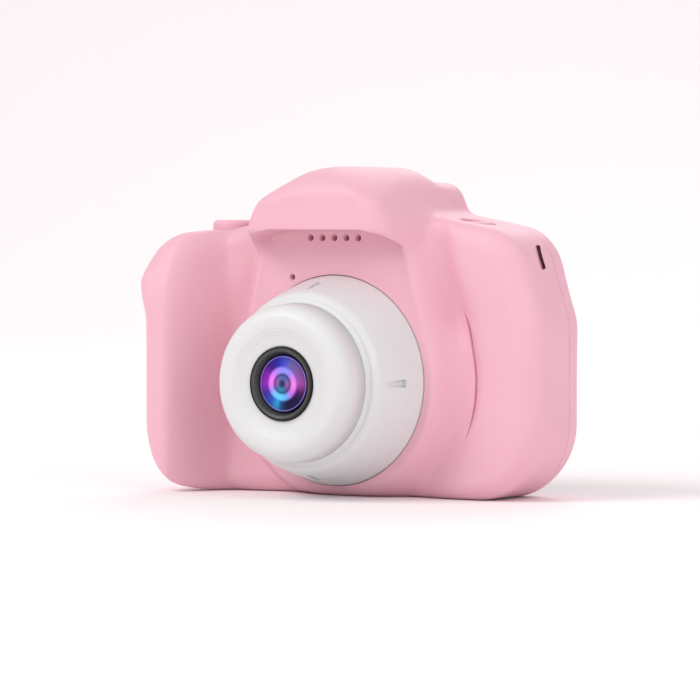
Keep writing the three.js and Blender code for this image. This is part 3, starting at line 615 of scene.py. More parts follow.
@dataclass(frozen=True)
class PaintedReflectionLens:
    """A lens element with painted reflections: coating reflections and highlights painted as colours round its
    axis and along its radius, and emitted so that it glows.

    Attributes:
        name: the material's name.
        centre: the axis, x and z in millimetres.
        radius: the element's radius in millimetres.
        inner_turn: painted reflection colours round the bright inner highlight ring, from the left by way of the
            bottom.
        outer_turn: painted reflection colours round the outer zone, likewise.
        levels: painted brightness of the reflections from the middle to the rim.
        glow: painted light added from the middle to the rim, with a thin painted highlight ring near the edge.
        zones: shares of the radius between which the inner colours give way to the outer ones.
    """

    name: str
    centre: tuple[float, float]
    radius: float
    inner_turn: tuple[Stop, ...] = (
        (0.0, (0.95, 0.14, 0.95)), (0.07, (0.42, 0.2, 0.98)), (0.14, (0.12, 0.55, 1.0)),
        (0.24, (0.1, 0.62, 1.0)), (0.31, (0.1, 0.34, 0.9)), (0.38, (0.6, 0.1, 0.8)),
        (0.48, (0.95, 0.18, 0.86)), (0.56, (0.8, 0.18, 0.9)), (0.64, (0.34, 0.22, 0.92)),
        (0.76, (0.27, 0.26, 1.0)), (0.84, (0.5, 0.18, 0.98)), (0.92, (0.95, 0.16, 1.0)),
        (1.0, (0.95, 0.14, 0.95)))
    outer_turn: tuple[Stop, ...] = (
        (0.0, (0.34, 0.02, 0.62)), (0.07, (0.07, 0.02, 0.42)), (0.14, (0.02, 0.1, 0.6)),
        (0.2, (0.04, 0.42, 0.9)), (0.235, (0.01, 0.08, 0.24)), (0.28, (0.002, 0.002, 0.03)),
        (0.38, (0.004, 0.001, 0.03)), (0.44, (0.1, 0.005, 0.14)), (0.5, (0.5, 0.08, 0.46)),
        (0.6, (0.26, 0.14, 0.44)), (0.68, (0.2, 0.16, 0.52)), (0.72, (0.1, 0.12, 0.8)),
        (0.79, (0.03, 0.03, 0.5)), (0.86, (0.06, 0.01, 0.26)), (0.93, (0.3, 0.02, 0.5)),
        (1.0, (0.34, 0.02, 0.62)))
    levels: tuple[tuple[float, float], ...] = (
        (0.0, 0.03), (0.1, 0.06), (0.15, 0.26), (0.22, 0.32), (0.32, 0.16), (0.38, 0.72), (0.45, 1.0),
        (0.55, 0.92), (0.6, 0.7), (0.66, 0.85), (0.88, 0.62), (0.95, 0.2), (1.0, 0.02))
    glow: tuple[Stop, ...] = (
        (0.0, (0.0, 0.0, 0.02)), (0.12, (0.0, 0.05, 0.1)), (0.24, (0.01, 0.08, 0.16)),
        (0.33, (0.0, 0.01, 0.06)), (0.42, (0.06, 0.1, 0.12)), (0.54, (0.05, 0.06, 0.1)),
        (0.6, (0.0, 0.0, 0.02)), (0.925, (0.0, 0.0, 0.01)), (0.94, (0.26, 0.2, 0.6)),
        (0.955, (0.2, 0.15, 0.5)), (0.97, (0.0, 0.0, 0.02)), (1.0, (0.0, 0.0, 0.01)))
    zones: tuple[float, float] = (0.55, 0.66)

    def make(self) -> bpy.types.Material:
        """Builds the material: two sets of painted reflection colours round the axis, joined and dimmed along the
        radius, with painted highlight rings added, all emitted so that the element glows.
        """
        nodes = Nodes(self.name)
        where = nodes.add("ShaderNodeTexCoord")
        place = nodes.add("ShaderNodeMapping", vector_type="POINT")
        place.inputs["Location"].default_value = (-self.centre[0] * MM, 0, -self.centre[1] * MM)
        nodes.link(where.outputs["Object"], place.inputs["Vector"])
        split = nodes.add("ShaderNodeSeparateXYZ")
        nodes.link(place.outputs["Vector"], split.inputs["Vector"])
        turn = nodes.add("ShaderNodeMath", operation="ARCTAN2")
        nodes.link(split.outputs["Z"], turn.inputs[0])
        nodes.link(split.outputs["X"], turn.inputs[1])
        flat = nodes.add("ShaderNodeCombineXYZ")
        nodes.link(split.outputs["X"], flat.inputs["X"])
        nodes.link(split.outputs["Z"], flat.inputs["Y"])
        length = nodes.add("ShaderNodeVectorMath", operation="LENGTH")
        nodes.link(flat.outputs["Vector"], length.inputs[0])
        along = nodes.remap(turn.outputs[0], -math.pi, math.pi)
        out = nodes.remap(length.outputs["Value"], 0.0, self.radius * MM)
        colour = nodes.join("MIX", nodes.ramp(along, self.inner_turn), nodes.ramp(along, self.outer_turn),
                            nodes.remap(out, *self.zones, "SMOOTHSTEP"))
        dimming = [(at, (level,) * 3) for at, level in self.levels]
        colour = nodes.join("MULTIPLY", colour, nodes.ramp(out, dimming))
        colour = nodes.join("ADD", colour, nodes.ramp(out, self.glow))
        # The painted reflections and highlights go into the emission, so the element glows though it is no lamp.
        nodes.link(colour, nodes.shader.inputs["Emission Color"])
        nodes.set(Base_Color=(0.004, 0.004, 0.012, 1), Emission_Strength=0.95, Roughness=0.05,
                  Specular_IOR_Level=0.14, Coat_Weight=0.0)
        return nodes.material


class Finish(Enum):
    """Every finish on the camera."""

    PINK = Plastic("pink_shell", (0.80, 0.448, 0.535), (0.776, 0.424, 0.511), (0.42, 0.54), scatter=0.06)
    WHITE = Plastic("white_lens_plastic", (0.70, 0.712, 0.715), (0.675, 0.687, 0.692), (0.34, 0.44), 0.003)
    KEY = Plastic("white_key_plastic", (0.80, 0.80, 0.82), (0.77, 0.77, 0.79), (0.28, 0.38), 0.003)
    BEZEL = Plastic("dark_bezel", (0.060, 0.063, 0.055), (0.048, 0.050, 0.045), (0.3, 0.42), 0.004)
    BLACK = Plastic("black_plastic", (0.014, 0.014, 0.015), (0.02, 0.02, 0.021), (0.4, 0.6))
    WINDOW = Plastic("screen_cover", (0.004, 0.004, 0.006), (0.005, 0.005, 0.008), (0.04, 0.09), 0.0, coat=0.0)
    BOARD = Plastic("circuit_board", (0.02, 0.12, 0.06), (0.015, 0.09, 0.045), (0.3, 0.5), 0.01, 900.0)
    FOAM = Plastic("foam", (0.03, 0.03, 0.032), (0.05, 0.05, 0.052), (0.85, 0.95), 0.05, 1500.0)
    AMBER = Plastic("amber_film", (0.55, 0.22, 0.04), (0.48, 0.18, 0.03), (0.25, 0.4), 0.004)
    RED_WIRE = Plastic("red_wire", (0.5, 0.02, 0.02), (0.42, 0.015, 0.015), (0.35, 0.5), 0.01)
    BLACK_WIRE = Plastic("black_wire", (0.012, 0.012, 0.012), (0.02, 0.02, 0.02), (0.35, 0.5), 0.01)
    STEEL = Metal("plated_steel", (0.62, 0.62, 0.64))
    FOIL = Metal("cell_foil", (0.68, 0.69, 0.72), (0.3, 0.5))
    LAVENDER = Metal("lavender_ring", (0.50, 0.43, 0.75), (0.18, 0.3))


class Palette:
    """Makes each finish once."""

    def __init__(self) -> None:
        """Starts with nothing made."""
        self.made: dict[str, bpy.types.Material] = {}

    def get(self, finish: "Finish | PaintedReflectionLens") -> bpy.types.Material:
        """The material of a finish, made at its first use."""
        recipe = finish.value if isinstance(finish, Finish) else finish
        if recipe.name not in self.made:
            self.made[recipe.name] = recipe.make()
        return self.made[recipe.name]


@dataclass
class Workshop:
    """What every sub-assembly needs: the frame, the palette and the log of pieces made."""

    frame: dict
    palette: Palette = field(default_factory=Palette)

    def corner(self, node: str) -> tuple[Array, Array]:
        """A node's lowest and highest corners, in millimetres."""
        low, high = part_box(node)
        return np.array(low) / MM, np.array(high) / MM

    def middle(self, node: str, axis: Axis = Axis.DEPTH) -> tuple[float, float]:
        """Where a node's middle is, across an axis."""
        low, high = self.corner(node)
        x, y, z = (low + high) / 2
        return (x, z) if axis is Axis.DEPTH else (x, y)

    def radius(self, node: str) -> float:
        """Half a node's width."""
        low, high = self.corner(node)
        return (high[0] - low[0]) / 2

    def fit(self, piece: bpy.types.Object, body: str, slot: str, finish: object, *nodes: str) -> bpy.types.Object:
        """Puts a finished piece on its body, in place of CAD nodes.

        Args:
            piece: the new piece.
            body: the body that it moves with.
            slot: the record's material slot; not used.
            finish: its finish.
            *nodes: the CAD nodes that it stands for.

        Returns:
            The piece.
        """
        piece.data.materials.clear()
        piece.data.materials.append(self.palette.get(finish))
        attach(piece, body)
        if nodes:
            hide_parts(*nodes)
        LOG.info("%s: %d faces on %s", piece.name, len(piece.data.polygons), body)
        return piece

    def dress(self, node: str, finish: object) -> None:
        """Gives a CAD node, whose shape is kept, its finish."""
        mesh = self.frame["nodes"][node].data
        mesh.materials.clear()
        mesh.materials.append(self.palette.get(finish))


# ---------------------------------------------------------------------------------------------------------
# The body's form
# ---------------------------------------------------------------------------------------------------------


@dataclass
class Form:
    """Sizes and surfaces that both shells share.

    Attributes:
        half_width: half the body's width.
        base_y: the front's base face.
        rear_y: the rear face.
        seam_y: back of the front shell.
        seam_gap: room between the shells.
        wall: wall thickness.
        lens_x: the lens axis.
        lens_z: the lens axis.
        lens_surround: radius of the circle that closes the arch under the lens.
        hood_rise: how far the hood's face stands in front of the base face.
        hood_foot: height of the hood's underside.
        hood_half: half the width of the hood's flat face.
        hood_flank: width of each flank beside it.
        hood_shift: how far the face is moved to the left.
        hood_lean: how fast the face and the flanks narrow with the square of the height above hood_top.
        hood_top: height from which they narrow.
        hood_fade: heights between which the legs turn into the hood.
        under_edge: half the width of the underside's step at the middle.
        under_soft: how much wider it gets down the legs, from which height and over what fall.
        collar: radii between which the collar round the lens falls to the base face.
        collar_rise: its height.
        column_half: half the distance between the columns' outer edges, level with the lens.
        column_lean: how much that narrows for each millimetre above column_foot.
        column_foot: height from which it narrows.
        column_fall: width of the columns' outer slope.
        swell: height of the crowned base face at its middle.
        swell_fall: how fast it falls towards the sides.
        moat: depth, radius and width of the valley round the collar.
        valley: depth of the valley beside the right column, its distance from it and its width.
        grip_rise: the grip's height.
        grip_edge: distance from the grip's crest to the body's side.
        grip_slope: width of the grip's inner slope.
        grip_dip: share of its height that it loses towards its top.
        arch_rise: height of the bead along the arch.
        bead: distance of that bead from the arch and its width.
        edge: width and depth of the edge rounding.
        edge_grip: what the grip adds to them.
        edge_low: what the bottom takes from them.
        edge_hump: what the hump adds to them.
        edge_shoulder: what the shoulders take from the depth.
    """

    half_width: float = 40.45
    base_y: float = -0.1
    rear_y: float = 20.4
    seam_y: float = 12.48
    seam_gap: float = 0.12
    wall: float = 2.0
    lens_x: float = 0.0
    lens_z: float = 21.1
    lens_surround: float = 20.9
    hood_rise: float = 9.6
    hood_foot: float = 48.35
    hood_half: float = 11.4
    hood_flank: float = 7.2
    hood_shift: float = 1.1
    hood_lean: tuple[float, float] = (0.13, 0.08)
    hood_top: float = 50.0
    hood_fade: tuple[float, float] = (43.0, 48.6)
    under_edge: float = 0.22
    under_soft: tuple[float, float, float] = (2.6, 46.8, 3.4)
    collar: tuple[float, float] = (20.5, 24.4)
    collar_rise: float = 2.7
    column_half: float = 19.0
    column_lean: float = 0.27
    column_foot: float = 29.0
    column_fall: float = 4.6
    swell: float = 0.5
    swell_fall: float = 0.0006
    moat: tuple[float, float, float] = (1.9, 24.4, 4.5)
    valley: tuple[float, float, float] = (1.7, 5.6, 2.9)
    grip_rise: float = 10.5
    grip_edge: float = 7.6
    grip_slope: float = 8.2
    grip_dip: float = 0.3
    arch_rise: float = 0.7
    bead: tuple[float, float] = (1.0, 1.9)
    edge: tuple[float, float] = (5.2, 5.2)
    edge_grip: tuple[float, float] = (1.3, 1.6)
    edge_low: tuple[float, float] = (1.6, 1.8)
    edge_hump: tuple[float, float] = (0.6, 4.5)
    edge_shoulder: float = 2.0

    def front_corners(self) -> list[list[float]]:
        """The front shell's outline as [x, z, radius] corners."""
        w = self.half_width
        return [[-w + 0.75, 0, 13.5], [w, 0, 13.5], [w, 32.0, 9], [w - 5.0, 48, 9.2], [16.8, 51.3, 3],
                [12.2, 59.6, 8.5], [0, 60, 30], [-5.4, 59.6, 12], [-14.2, 55, 5], [-16.9, 49.9, 3],
                [-w, 46.9, 9.4], [-w, 38.5, 8], [-w + 0.75, 32, 12]]

    def rear_corners(self) -> list[list[float]]:
        """The rear shell's outline, with its lower hump."""
        corners = self.front_corners()
        corners[4:10] = [[15.9, 51.4, 3], [13.4, 57.0, 3.8], [0, 57.3, 30], [-6.5, 56.8, 10], [-13, 53.5, 5],
                         [-15.8, 50, 3]]
        return corners

    def outline(self, corners: Sequence[Sequence[float]], count: int, soften: float = 0.7) -> Array:
        """Evenly spaced points along an outline, eased."""
        return resample(rounded_path(corners, 24), count, soften)

    def arch(self, count: int = 1400) -> Array:
        """The inner edge of the hood and its legs: an arch that closes as a circle under the lens."""
        foot = self.hood_foot
        around = self.lens_surround
        right = [[around, self.lens_z, 0], [19.0, 30.0, 14], [15.9, 43.0, 7], [14.4, foot - 1.2, 3.4],
                 [10.0, foot, 5.0]]
        top = right + [[-x, z, radius] for x, z, radius in right[::-1]]
        angles = np.linspace(math.pi, 2 * math.pi, 60)[1:-1]
        low = np.stack([around * np.cos(angles), self.lens_z + around * np.sin(angles)], 1)
        return resample(np.vstack([rounded_path(top, 24, closed=False), low]), count)

    def relief(self, x: Array, z: Array) -> Array:
        """Height of the collar, the columns beside it, the valleys and the grip above the base face.

        The base face is a crown, swell minus swell_fall times x squared, less a bell curve round the collar and
        another beside the right column. Smooth steps raise the collar, the columns and the grip out of it.
        """
        radius = np.hypot(x - self.lens_x, z - self.lens_z)
        collar = 1 - ease(*self.collar, radius)
        column_half = self.column_half - self.column_lean * np.maximum(0, z - self.column_foot)
        outside = (np.abs(x) - column_half) / self.column_fall
        column = np.where(z > self.lens_z, 1 - ease(0.0, 1.0, outside), 0)
        raised = np.maximum(collar, column)
        depth, at, width = self.moat
        swell = self.swell - self.swell_fall * x * x - depth * np.exp(-(((radius - at) / width) ** 2))
        depth, at, width = self.valley
        swell -= depth * np.exp(-(((x - column_half - at) / width) ** 2)) * ease(26, 34, z) * ease(54, 48, z)
        base = swell * (1 - raised) + self.collar_rise * raised
        crest = self.grip_edge - self.half_width
        grip = ease(0, 1, (crest + self.grip_slope - x) / self.grip_slope)
        grip_top = 1 - self.grip_dip * ease(34, 50, z)
        return base * (1 - grip) + self.grip_rise * grip_top * grip

    def hood(self, x: Array, z: Array) -> Array:
        """Height that the hood over the face and its legs add.

        The hood's front is flat over its middle, its flanks run down to the shoulders, and its underside is a
        step across the arch that is sharp at the middle and softens down the legs.
        """
        arch = self.arch()
        depth, _ = nearest(np.stack([x.ravel(), z.ravel()], 1), arch, outward(arch))
        outside = -depth.reshape(x.shape)
        shifted = np.abs(x + self.hood_shift)
        above = np.maximum(0, z - self.hood_top) ** 2
        start = self.hood_half - self.hood_lean[0] * above
        end = self.hood_half + self.hood_flank - self.hood_lean[1] * above
        share = np.clip((shifted - start) / (end - start), 0, 1)
        flank = (1 - share ** 2.1) ** 0.95 * (1 - 0.35 * ease(0.5, 1, share))
        fade = ease(*self.hood_fade, z)
        widening, high, fall = self.under_soft
        soft = self.under_edge + widening * ease(0, 1, (high - z) / fall)
        under = ease(-1, 1, outside / soft)
        at, width = self.bead
        legs = self.arch_rise * np.exp(-(((outside - at) / width) ** 2)) * ease(27, 40, z) * (1 - 0.6 * fade)
        return (self.hood_rise - self.collar_rise) * flank * fade * under + legs

    def rounding(self, x: Array, z: Array) -> tuple[Array, Array]:
        """Width and depth of the edge rounding at points of the outline."""
        hump = ease(50, 54, z)
        left = ease(20, 30, -x)
        low = 1 - ease(1, 9, z)
        shoulder = ease(41, 46, z) * (1 - hump)
        reach, depth = (edge + grip * left * (1 - low) - less * low + more * hump for edge, grip, less, more
                        in zip(self.edge, self.edge_grip, self.edge_low, self.edge_hump))
        depth = depth - self.edge_shoulder * shoulder
        return reach, depth


@dataclass
class FrontShell:
    """The front half of the body: grip, collar, hood, shoulders and every opening in them.

    Attributes:
        spokes: points round each ring.
        arc_steps: rings across the edge rounding.
        hole_radius: radius of the sound holes.
        hole_pitch: distance between them.
        hole_z: their height.
        hole_count: how many there are.
        hole_mouth: how much wider their mouths are.
        mic: where the microphone hole is, x and z.
        drum_hole: radius of the lens hole.
        drum_room: radius of the recess behind it, for the drum's flange.
        mesh_pole: radius of the innermost ring, behind the lens.
        packed: half the width of the band of close rings along the arch.
        packing: shares of that band at which its rings lie.
        hump_fall: how far the hump's top falls to the rear shell.
        hump_fall_run: length of that fall along y.
        crescent: radius of the inner arc; centre, x and z, and radius of the outer one; depth.
        crescent_span: its lowest and highest points.
        arch_share: most of the way from the outline to the arch that the edge rounding takes up.
        key_gap: room round a top key.
        key_well: how far below a top key's face its flange has room, from and to.
        boss: radius of the screw bosses inside.
        pilot: radius of the screws' holes in them.
    """

    shop: Workshop
    form: Form
    spokes: int = 720
    arc_steps: int = 16
    hole_radius: float = 0.5
    hole_pitch: float = 2.58
    hole_z: float = 47.0
    hole_count: int = 5
    hole_mouth: float = 0.16
    mic: tuple[float, float] = (-9.2, 39.8)
    drum_hole: float = 19.25
    drum_room: float = 20.2
    mesh_pole: float = 13.2
    packed: float = 1.2
    packing: tuple[float, ...] = (1.0, 0.62, 0.4, 0.26, 0.16, 0.08, 0.0)
    hump_fall: float = 3.0
    hump_fall_run: float = 5.5
    crescent: tuple[float, float, float, float, float] = (27.5, 12.0, 21.8, 17.4, 0.6)
    crescent_span: tuple[float, float] = (9.55, 34.0)
    arch_share: float = 0.58
    key_gap: float = 0.14
    key_well: tuple[float, float] = (7.1, 4.78)
    boss: float = 2.4
    pilot: float = 1.1

    def surface(self, x: Array, z: Array) -> Array:
        """Depth y of the finished front surface, away from the outline."""
        return self.form.base_y - self.form.relief(x, z) - self.form.hood(x, z)

    def outer(self) -> bpy.types.Object:
        """The closed outer body, before anything is cut out of it.

        Rings run from the seam over the edge rounding, whose inset is reach times (1 - cosine) and whose
        height is depth times (1 - sine), then along spokes to the arch, and past it to a circle behind the
        lens. They lie close together on both sides of the arch, where the hood's underside steps down.
        """
        form = self.form
        path = form.outline(form.front_corners(), self.spokes)
        normal = outward(path)
        reach, depth = form.rounding(path[:, 0], path[:, 1])
        edge = form.arch()
        past, _ = nearest(path, edge, outward(edge))
        reach = np.where(path[:, 1] > 40, np.minimum(reach, -self.arch_share * past), reach)
        reach = within_bend(path, reach)
        flat: list[Array] = []
        lift: list[Array] = []
        for turn in np.linspace(0, math.pi / 2, self.arc_steps):
            flat.append(path - normal * (reach * (1 - math.cos(turn)))[:, None])
            lift.append(depth * (1 - math.sin(turn)))
        rim = flat[-1]
        centre = np.array([form.lens_x, form.lens_z])
        arm = rim - centre
        span = np.linalg.norm(arm, axis=1)
        arm /= span[:, None]
        arch = edge - centre
        angle = np.arctan2(arch[:, 1], arch[:, 0])
        order = np.argsort(angle)
        arch_radius = np.interp(np.arctan2(arm[:, 1], arm[:, 0]), angle[order],
                                np.linalg.norm(arch, axis=1)[order], period=2 * math.pi)
        arch_radius = np.minimum(arch_radius, span * 0.93)
        room = span - arch_radius
        band = np.minimum(self.packed, room * 0.4)
        radii = [span - (room - band) * share for share in np.linspace(0, 1, 30)[1:-1]]
        radii += [arch_radius + band * step for step in self.packing]
        radii += [arch_radius - self.packed * step for step in self.packing[-2::-1]]
        radii += [arch_radius - self.packed - (arch_radius - self.mesh_pole) * share
                  for share in np.linspace(0, 1, 16)[1:]]
        flat += [centre + arm * radius[:, None] for radius in radii]
        lift += [np.zeros(self.spokes)] * (len(flat) - len(lift))
        grid = np.stack(flat)
        y = self.surface(grid[..., 0], grid[..., 1]) + np.stack(lift)
        rings = np.stack([grid[..., 0], y, grid[..., 1]], 2)
        seam = form.seam_y
        back = [np.insert(self.lowered(path, normal, seam, inset), 1, at, axis=1) for inset, at in
                ((6.0, seam), (0.8, seam), (0.1, seam), (0.03, seam - 0.07), (0.0, seam - 0.25))]
        wall = []
        for share in (0.9, 0.8, 0.7, 0.6, 0.5, 0.4, 0.3, 0.2, 0.1):
            y = rings[0, :, 1] + (seam - 0.25 - rings[0, :, 1]) * share
            spot = self.lowered(path, normal, y)
            wall.append(np.stack([spot[:, 0], y, spot[:, 1]], 1))
        return loft("front_shell_body", [*back, *wall, *rings])

    def lowered(self, path: Array, normal: Array, y: float | Array, inset: float = 0.0) -> Array:
        """The outline, moved in where the hump falls to the rear shell's height by a quarter circle along y."""
        start = self.form.seam_y - self.hump_fall_run
        share = np.clip((y - start) / self.hump_fall_run, 0, 1)
        fall = self.hump_fall * ease(55.6, 59.6, path[:, 1]) * (1 - np.sqrt(1 - 0.98 * share ** 2))
        return path - normal * (fall + inset)[:, None]

    def cavity(self, spokes: int = 240) -> bpy.types.Object:
        """The hollow inside: the outline moved in by the wall, under the relief without its hood."""
        form = self.form
        path = form.outline(form.rear_corners(), spokes)
        normal = outward(path)
        reach, depth = form.rounding(path[:, 0], path[:, 1])
        reach, depth = np.maximum(reach - form.wall, 1.5), np.maximum(depth - form.wall, 1.5)

        def inner(x: Array, z: Array) -> Array:
            """Wall thickness behind the relief, more where it is steep."""
            slope = np.hypot(form.relief(x + 0.5, z) - form.relief(x - 0.5, z),
                             form.relief(x, z + 0.5) - form.relief(x, z - 0.5))
            return form.base_y - form.relief(x, z) + form.wall * np.sqrt(1 + np.minimum(2.4, slope) ** 2)

        back = form.seam_y + 1
        rings = [np.insert(path - normal * form.wall, 1, back, axis=1)]
        for turn in np.linspace(0, math.pi / 2, 7):
            spot = path - normal * (form.wall + reach * (1 - math.cos(turn)))[:, None]
            y = np.minimum(inner(spot[:, 0], spot[:, 1]) + depth * (1 - math.sin(turn)), back - 0.5)
            rings.append(np.stack([spot[:, 0], y, spot[:, 1]], 1))
        rim = rings[-1][:, [0, 2]]
        centre = np.array([form.lens_x, form.lens_z])
        for share in np.linspace(0, 1, 24)[1:]:
            spot = rim + (centre - rim) * share * 0.9
            rings.append(np.stack([spot[:, 0], inner(spot[:, 0], spot[:, 1]), spot[:, 1]], 1))
        return loft("hollow", rings)

    def crescent_tool(self) -> bpy.types.Object:
        """A wedge between two arcs: deepest along the one about the lens, fading out at the other.

        At each height the two arcs give its ends across, and its depth runs evenly from full to none.
        """
        inner_radius, outer_x, outer_z, outer_radius, depth = self.crescent
        form = self.form
        heights = np.linspace(*self.crescent_span, 70)
        near = form.lens_x + np.sqrt(inner_radius ** 2 - (heights - form.lens_z) ** 2)
        far = outer_x + np.sqrt(np.maximum(outer_radius ** 2 - (heights - outer_z) ** 2, 0))
        far = np.maximum(far, near + 0.02)
        share = np.linspace(0, 1, 12)
        x = near[:, None] + (far - near)[:, None] * share
        z = np.repeat(heights[:, None], len(share), 1)
        y = self.surface(x, z)
        blend = np.minimum(1, (far - near)[:, None] / 1.6)
        back = np.stack([x, y + depth * blend * (1 - share) ** 0.8, z], 2)
        front = np.stack([x, y - 3.0, z], 2)
        rows = np.concatenate([back, front[:, ::-1]], 1)
        return loft("crescent_tool", list(rows))

    def openings(self) -> list[bpy.types.Object]:
        """Tools for the lens, sound, key, port, screw and strap openings."""
        form = self.form
        lens = (form.lens_x, form.lens_z)
        tools = [
            turned("lens_hole", np.array([[0, -25], [self.drum_hole, -25], [self.drum_hole, 6.4], [0, 6.4]]),
                   lens, segments=256),
            turned("flange_room", np.array([[0, -0.8], [self.drum_room, -0.8], [self.drum_room, 1.0], [0, 1.0]]),
                   lens, segments=128),
            self.crescent_tool(),
        ]
        mouth = self.hole_radius
        wide = mouth + self.hole_mouth
        drill = np.array([[0, -12], [wide, -12], [wide, -2.86], [mouth, -2.55], [mouth, form.base_y],
                          [0, form.base_y]])
        places = [(form.lens_x + (i - (self.hole_count - 1) / 2) * self.hole_pitch, self.hole_z)
                  for i in range(self.hole_count)]
        tools += [turned(f"sound_hole_{i}", drill, spot, segments=32)
                  for i, spot in enumerate([*places, self.mic])]
        for key in TOP_KEYS:
            top = self.shop.corner(f"{key}_cap")[1][2]
            outer = self.shop.radius(f"{key}_cap")
            radius = outer - KEY_FLANGE + self.key_gap
            well = outer + 0.12
            deep, shallow = self.key_well
            spot = self.shop.middle(f"{key}_cap", Axis.HEIGHT)
            for part, width, start, end in (("hole", radius, top - 12, top + 3),
                                            ("well", well, top - deep, top - shallow)):
                profile = np.array([[0, start], [width, start], [width, end], [0, end]])
                tools.append(turned(f"{key}_{part}", profile, spot, Axis.HEIGHT, 96))
        for node in ("charging_socket", "card_socket"):
            low, high = self.shop.corner(node)
            tools.append(block(f"{node}_hole", low[0] - 0.3, high[0] + 0.3, -1, 6, low[1] - 0.3, high[1] + 0.3))
        tools.append(strap_channel(form))
        return tools

    def build(self) -> None:
        """Makes the shell and puts it on the camera."""
        hollow = self.cavity()
        spots = [self.shop.middle(f"shell_screw_{i}") for i in range(1, SCREW_COUNT + 1)]
        post, bore = (np.array([[0, start], [radius, start], [radius, end], [0, end]]) for radius, start, end
                      in ((self.boss, -25, 14.4), (self.pilot, 5.4, 13.4)))
        bosses = [turned(f"boss_{i}", post, spot, segments=32) for i, spot in enumerate(spots)]
        carve(hollow, [*bosses, block("strap_block", *STRAP_BLOCK, 4.4, 14.4)])
        body = self.outer()
        pilots = [turned(f"pilot_{i}", bore, spot, segments=24) for i, spot in enumerate(spots)]
        carve(body, [hollow, *pilots, *self.openings()])
        body.name = "front_shell_moulding"
        self.shop.fit(body, "camera", "body_pink", Finish.PINK, "front_shell")


def strap_channel(form: Form, slant: float = 22.0, reach: float = 15.0, radius: float = 0.35
                  ) -> bpy.types.Object:
    """The tool for the wrist strap's slot, from the right flank to the rear face.

    Args:
        form: the body's form.
        slant: degrees that it turns away from Y.
        reach: how far it runs each way from its middle.
        radius: radius of its corners.

    Returns:
        The tool.
    """
    path = rounded_path([[0.35, -2.2, radius], [1.15, -2.2, radius],
                         [-0.35, 2.2, radius], [-1.15, 2.2, radius]], 6)
    tool = slab("strap_channel", path, -reach, reach)
    tool.data.transform(Matrix.Translation(np.array([form.half_width - 6.1, form.rear_y - 6.4, 43.6]) * MM)
                        @ Matrix.Rotation(math.radians(slant), 4, "Z"))
    return tool


@dataclass
class RearShell:
    """The rear half of the body, with its screen recess, key holes and screw wells.

    Attributes:
        spokes: points round each ring.
        hollow_spokes: points round each ring of the hollow.
        screen: the screen's middle, x and z, its width and its height.
        edge: radius of its edge, what the bottom and the hump take from it and what the right side adds.
        key_gap: room round a rear key.
        boss: radius of the screw bosses inside.
        shank: radius of the holes for the screws.
        head: radius of the wells for their heads.
        head_depth: how deep those wells are.
    """

    shop: Workshop
    form: Form
    spokes: int = 600
    hollow_spokes: int = 160
    screen: tuple[float, float, float, float] = (9.2, 26.5, 44.5, 35.0)
    edge: tuple[float, float, float, float] = (6, 2.4, 2.8, 1.2)
    key_gap: float = 0.3
    boss: float = 2.4
    shank: float = 1.15
    head: float = 2.05
    head_depth: float = 2.4

    def rings(self, spokes: int, thickness: float) -> list[Array]:
        """Rings of the outer surface, or of the hollow when thickness is more than 0."""
        form = self.form
        path = form.outline(form.rear_corners(), spokes)
        normal = outward(path)
        low = 1 - ease(1, 9, path[:, 1])
        hump = ease(48, 51, path[:, 1])
        right = ease(20, 32, path[:, 0])
        edge, less_low, less_hump, more_right = self.edge
        reach = edge - less_low * low * (1 - right) - less_hump * hump + more_right * right * (1 - hump)
        reach = np.maximum(within_bend(path, reach) - thickness, 1.0)
        front = form.seam_y + form.seam_gap
        if thickness > 0:
            out = [np.insert(path - normal * thickness, 1, front - 1, axis=1)]
        else:
            out = [np.insert(path - normal * inset, 1, at, axis=1) for inset, at in
                   ((6.0, front), (0.8, front), (0.1, front), (0.03, front + 0.07), (0.0, front + 0.25))]
        for turn in np.linspace(0, math.pi / 2, 14 if thickness == 0 else 6):
            inset = thickness + reach * (1 - math.cos(turn))
            y = form.rear_y - thickness - reach * (1 - math.sin(turn))
            spot = path - normal * inset[:, None]
            out.append(np.stack([spot[:, 0], y, spot[:, 1]], 1))
        rim = out[-1]
        middle = np.array([0.0, rim[0, 1], 26.0])
        for share in (0.06, 0.2, 0.4, 0.65, 0.9):
            out.append(rim + (middle - rim) * share)
        return out

    def build(self) -> None:
        """Makes the shell and puts it on the camera."""
        form = self.form
        rear = form.rear_y
        body = loft("rear_shell_body", self.rings(self.spokes, 0))
        hollow = loft("rear_hollow", self.rings(self.hollow_spokes, form.wall))
        spots = [self.shop.middle(f"shell_screw_{i}") for i in range(1, SCREW_COUNT + 1)]
        post = np.array([[0, 10], [self.boss, 10], [self.boss, 21], [0, 21]])
        carve(hollow, [block("strap_block_rear", *STRAP_BLOCK, 10.4, rear),
                       *(turned(f"rear_boss_{i}", post, spot, segments=32) for i, spot in enumerate(spots))])
        floor = rear - self.head_depth
        well = np.array([[0, 11], [self.shank, 11], [self.shank, floor], [self.head, floor],
                         [self.head, rear - 0.2], [self.head + 0.2, rear], [self.head + 0.2, rear + 1],
                         [0, rear + 1]])
        tools = [hollow, *(turned(f"well_{i}", well, spot, segments=48) for i, spot in enumerate(spots))]
        for key in REAR_KEYS:
            radius = self.shop.radius(f"{key}_cap") - KEY_FLANGE + self.key_gap
            bore = np.array([[0, 13], [radius, 13], [radius, rear - 0.25], [radius + 0.25, rear],
                             [radius + 0.25, rear + 1], [0, rear + 1]])
            tools.append(turned(f"{key}_hole", bore, self.shop.middle(f"{key}_cap"), segments=72))
        x, z, width, height = self.screen
        tools.append(slab("window_recess", rectangle(x, z, width + 0.6, height + 0.6, 2.3),
                          rear - 1.45, rear + 1))
        tools.append(slab("screen_opening", rectangle(x, z, width - 3.2, height - 3.2, 1.2), 13, rear))
        tools.append(strap_channel(form))
        carve(body, tools)
        body.name = "rear_shell_moulding"
        self.shop.fit(body, "camera", "body_pink", Finish.PINK, "rear_shell")


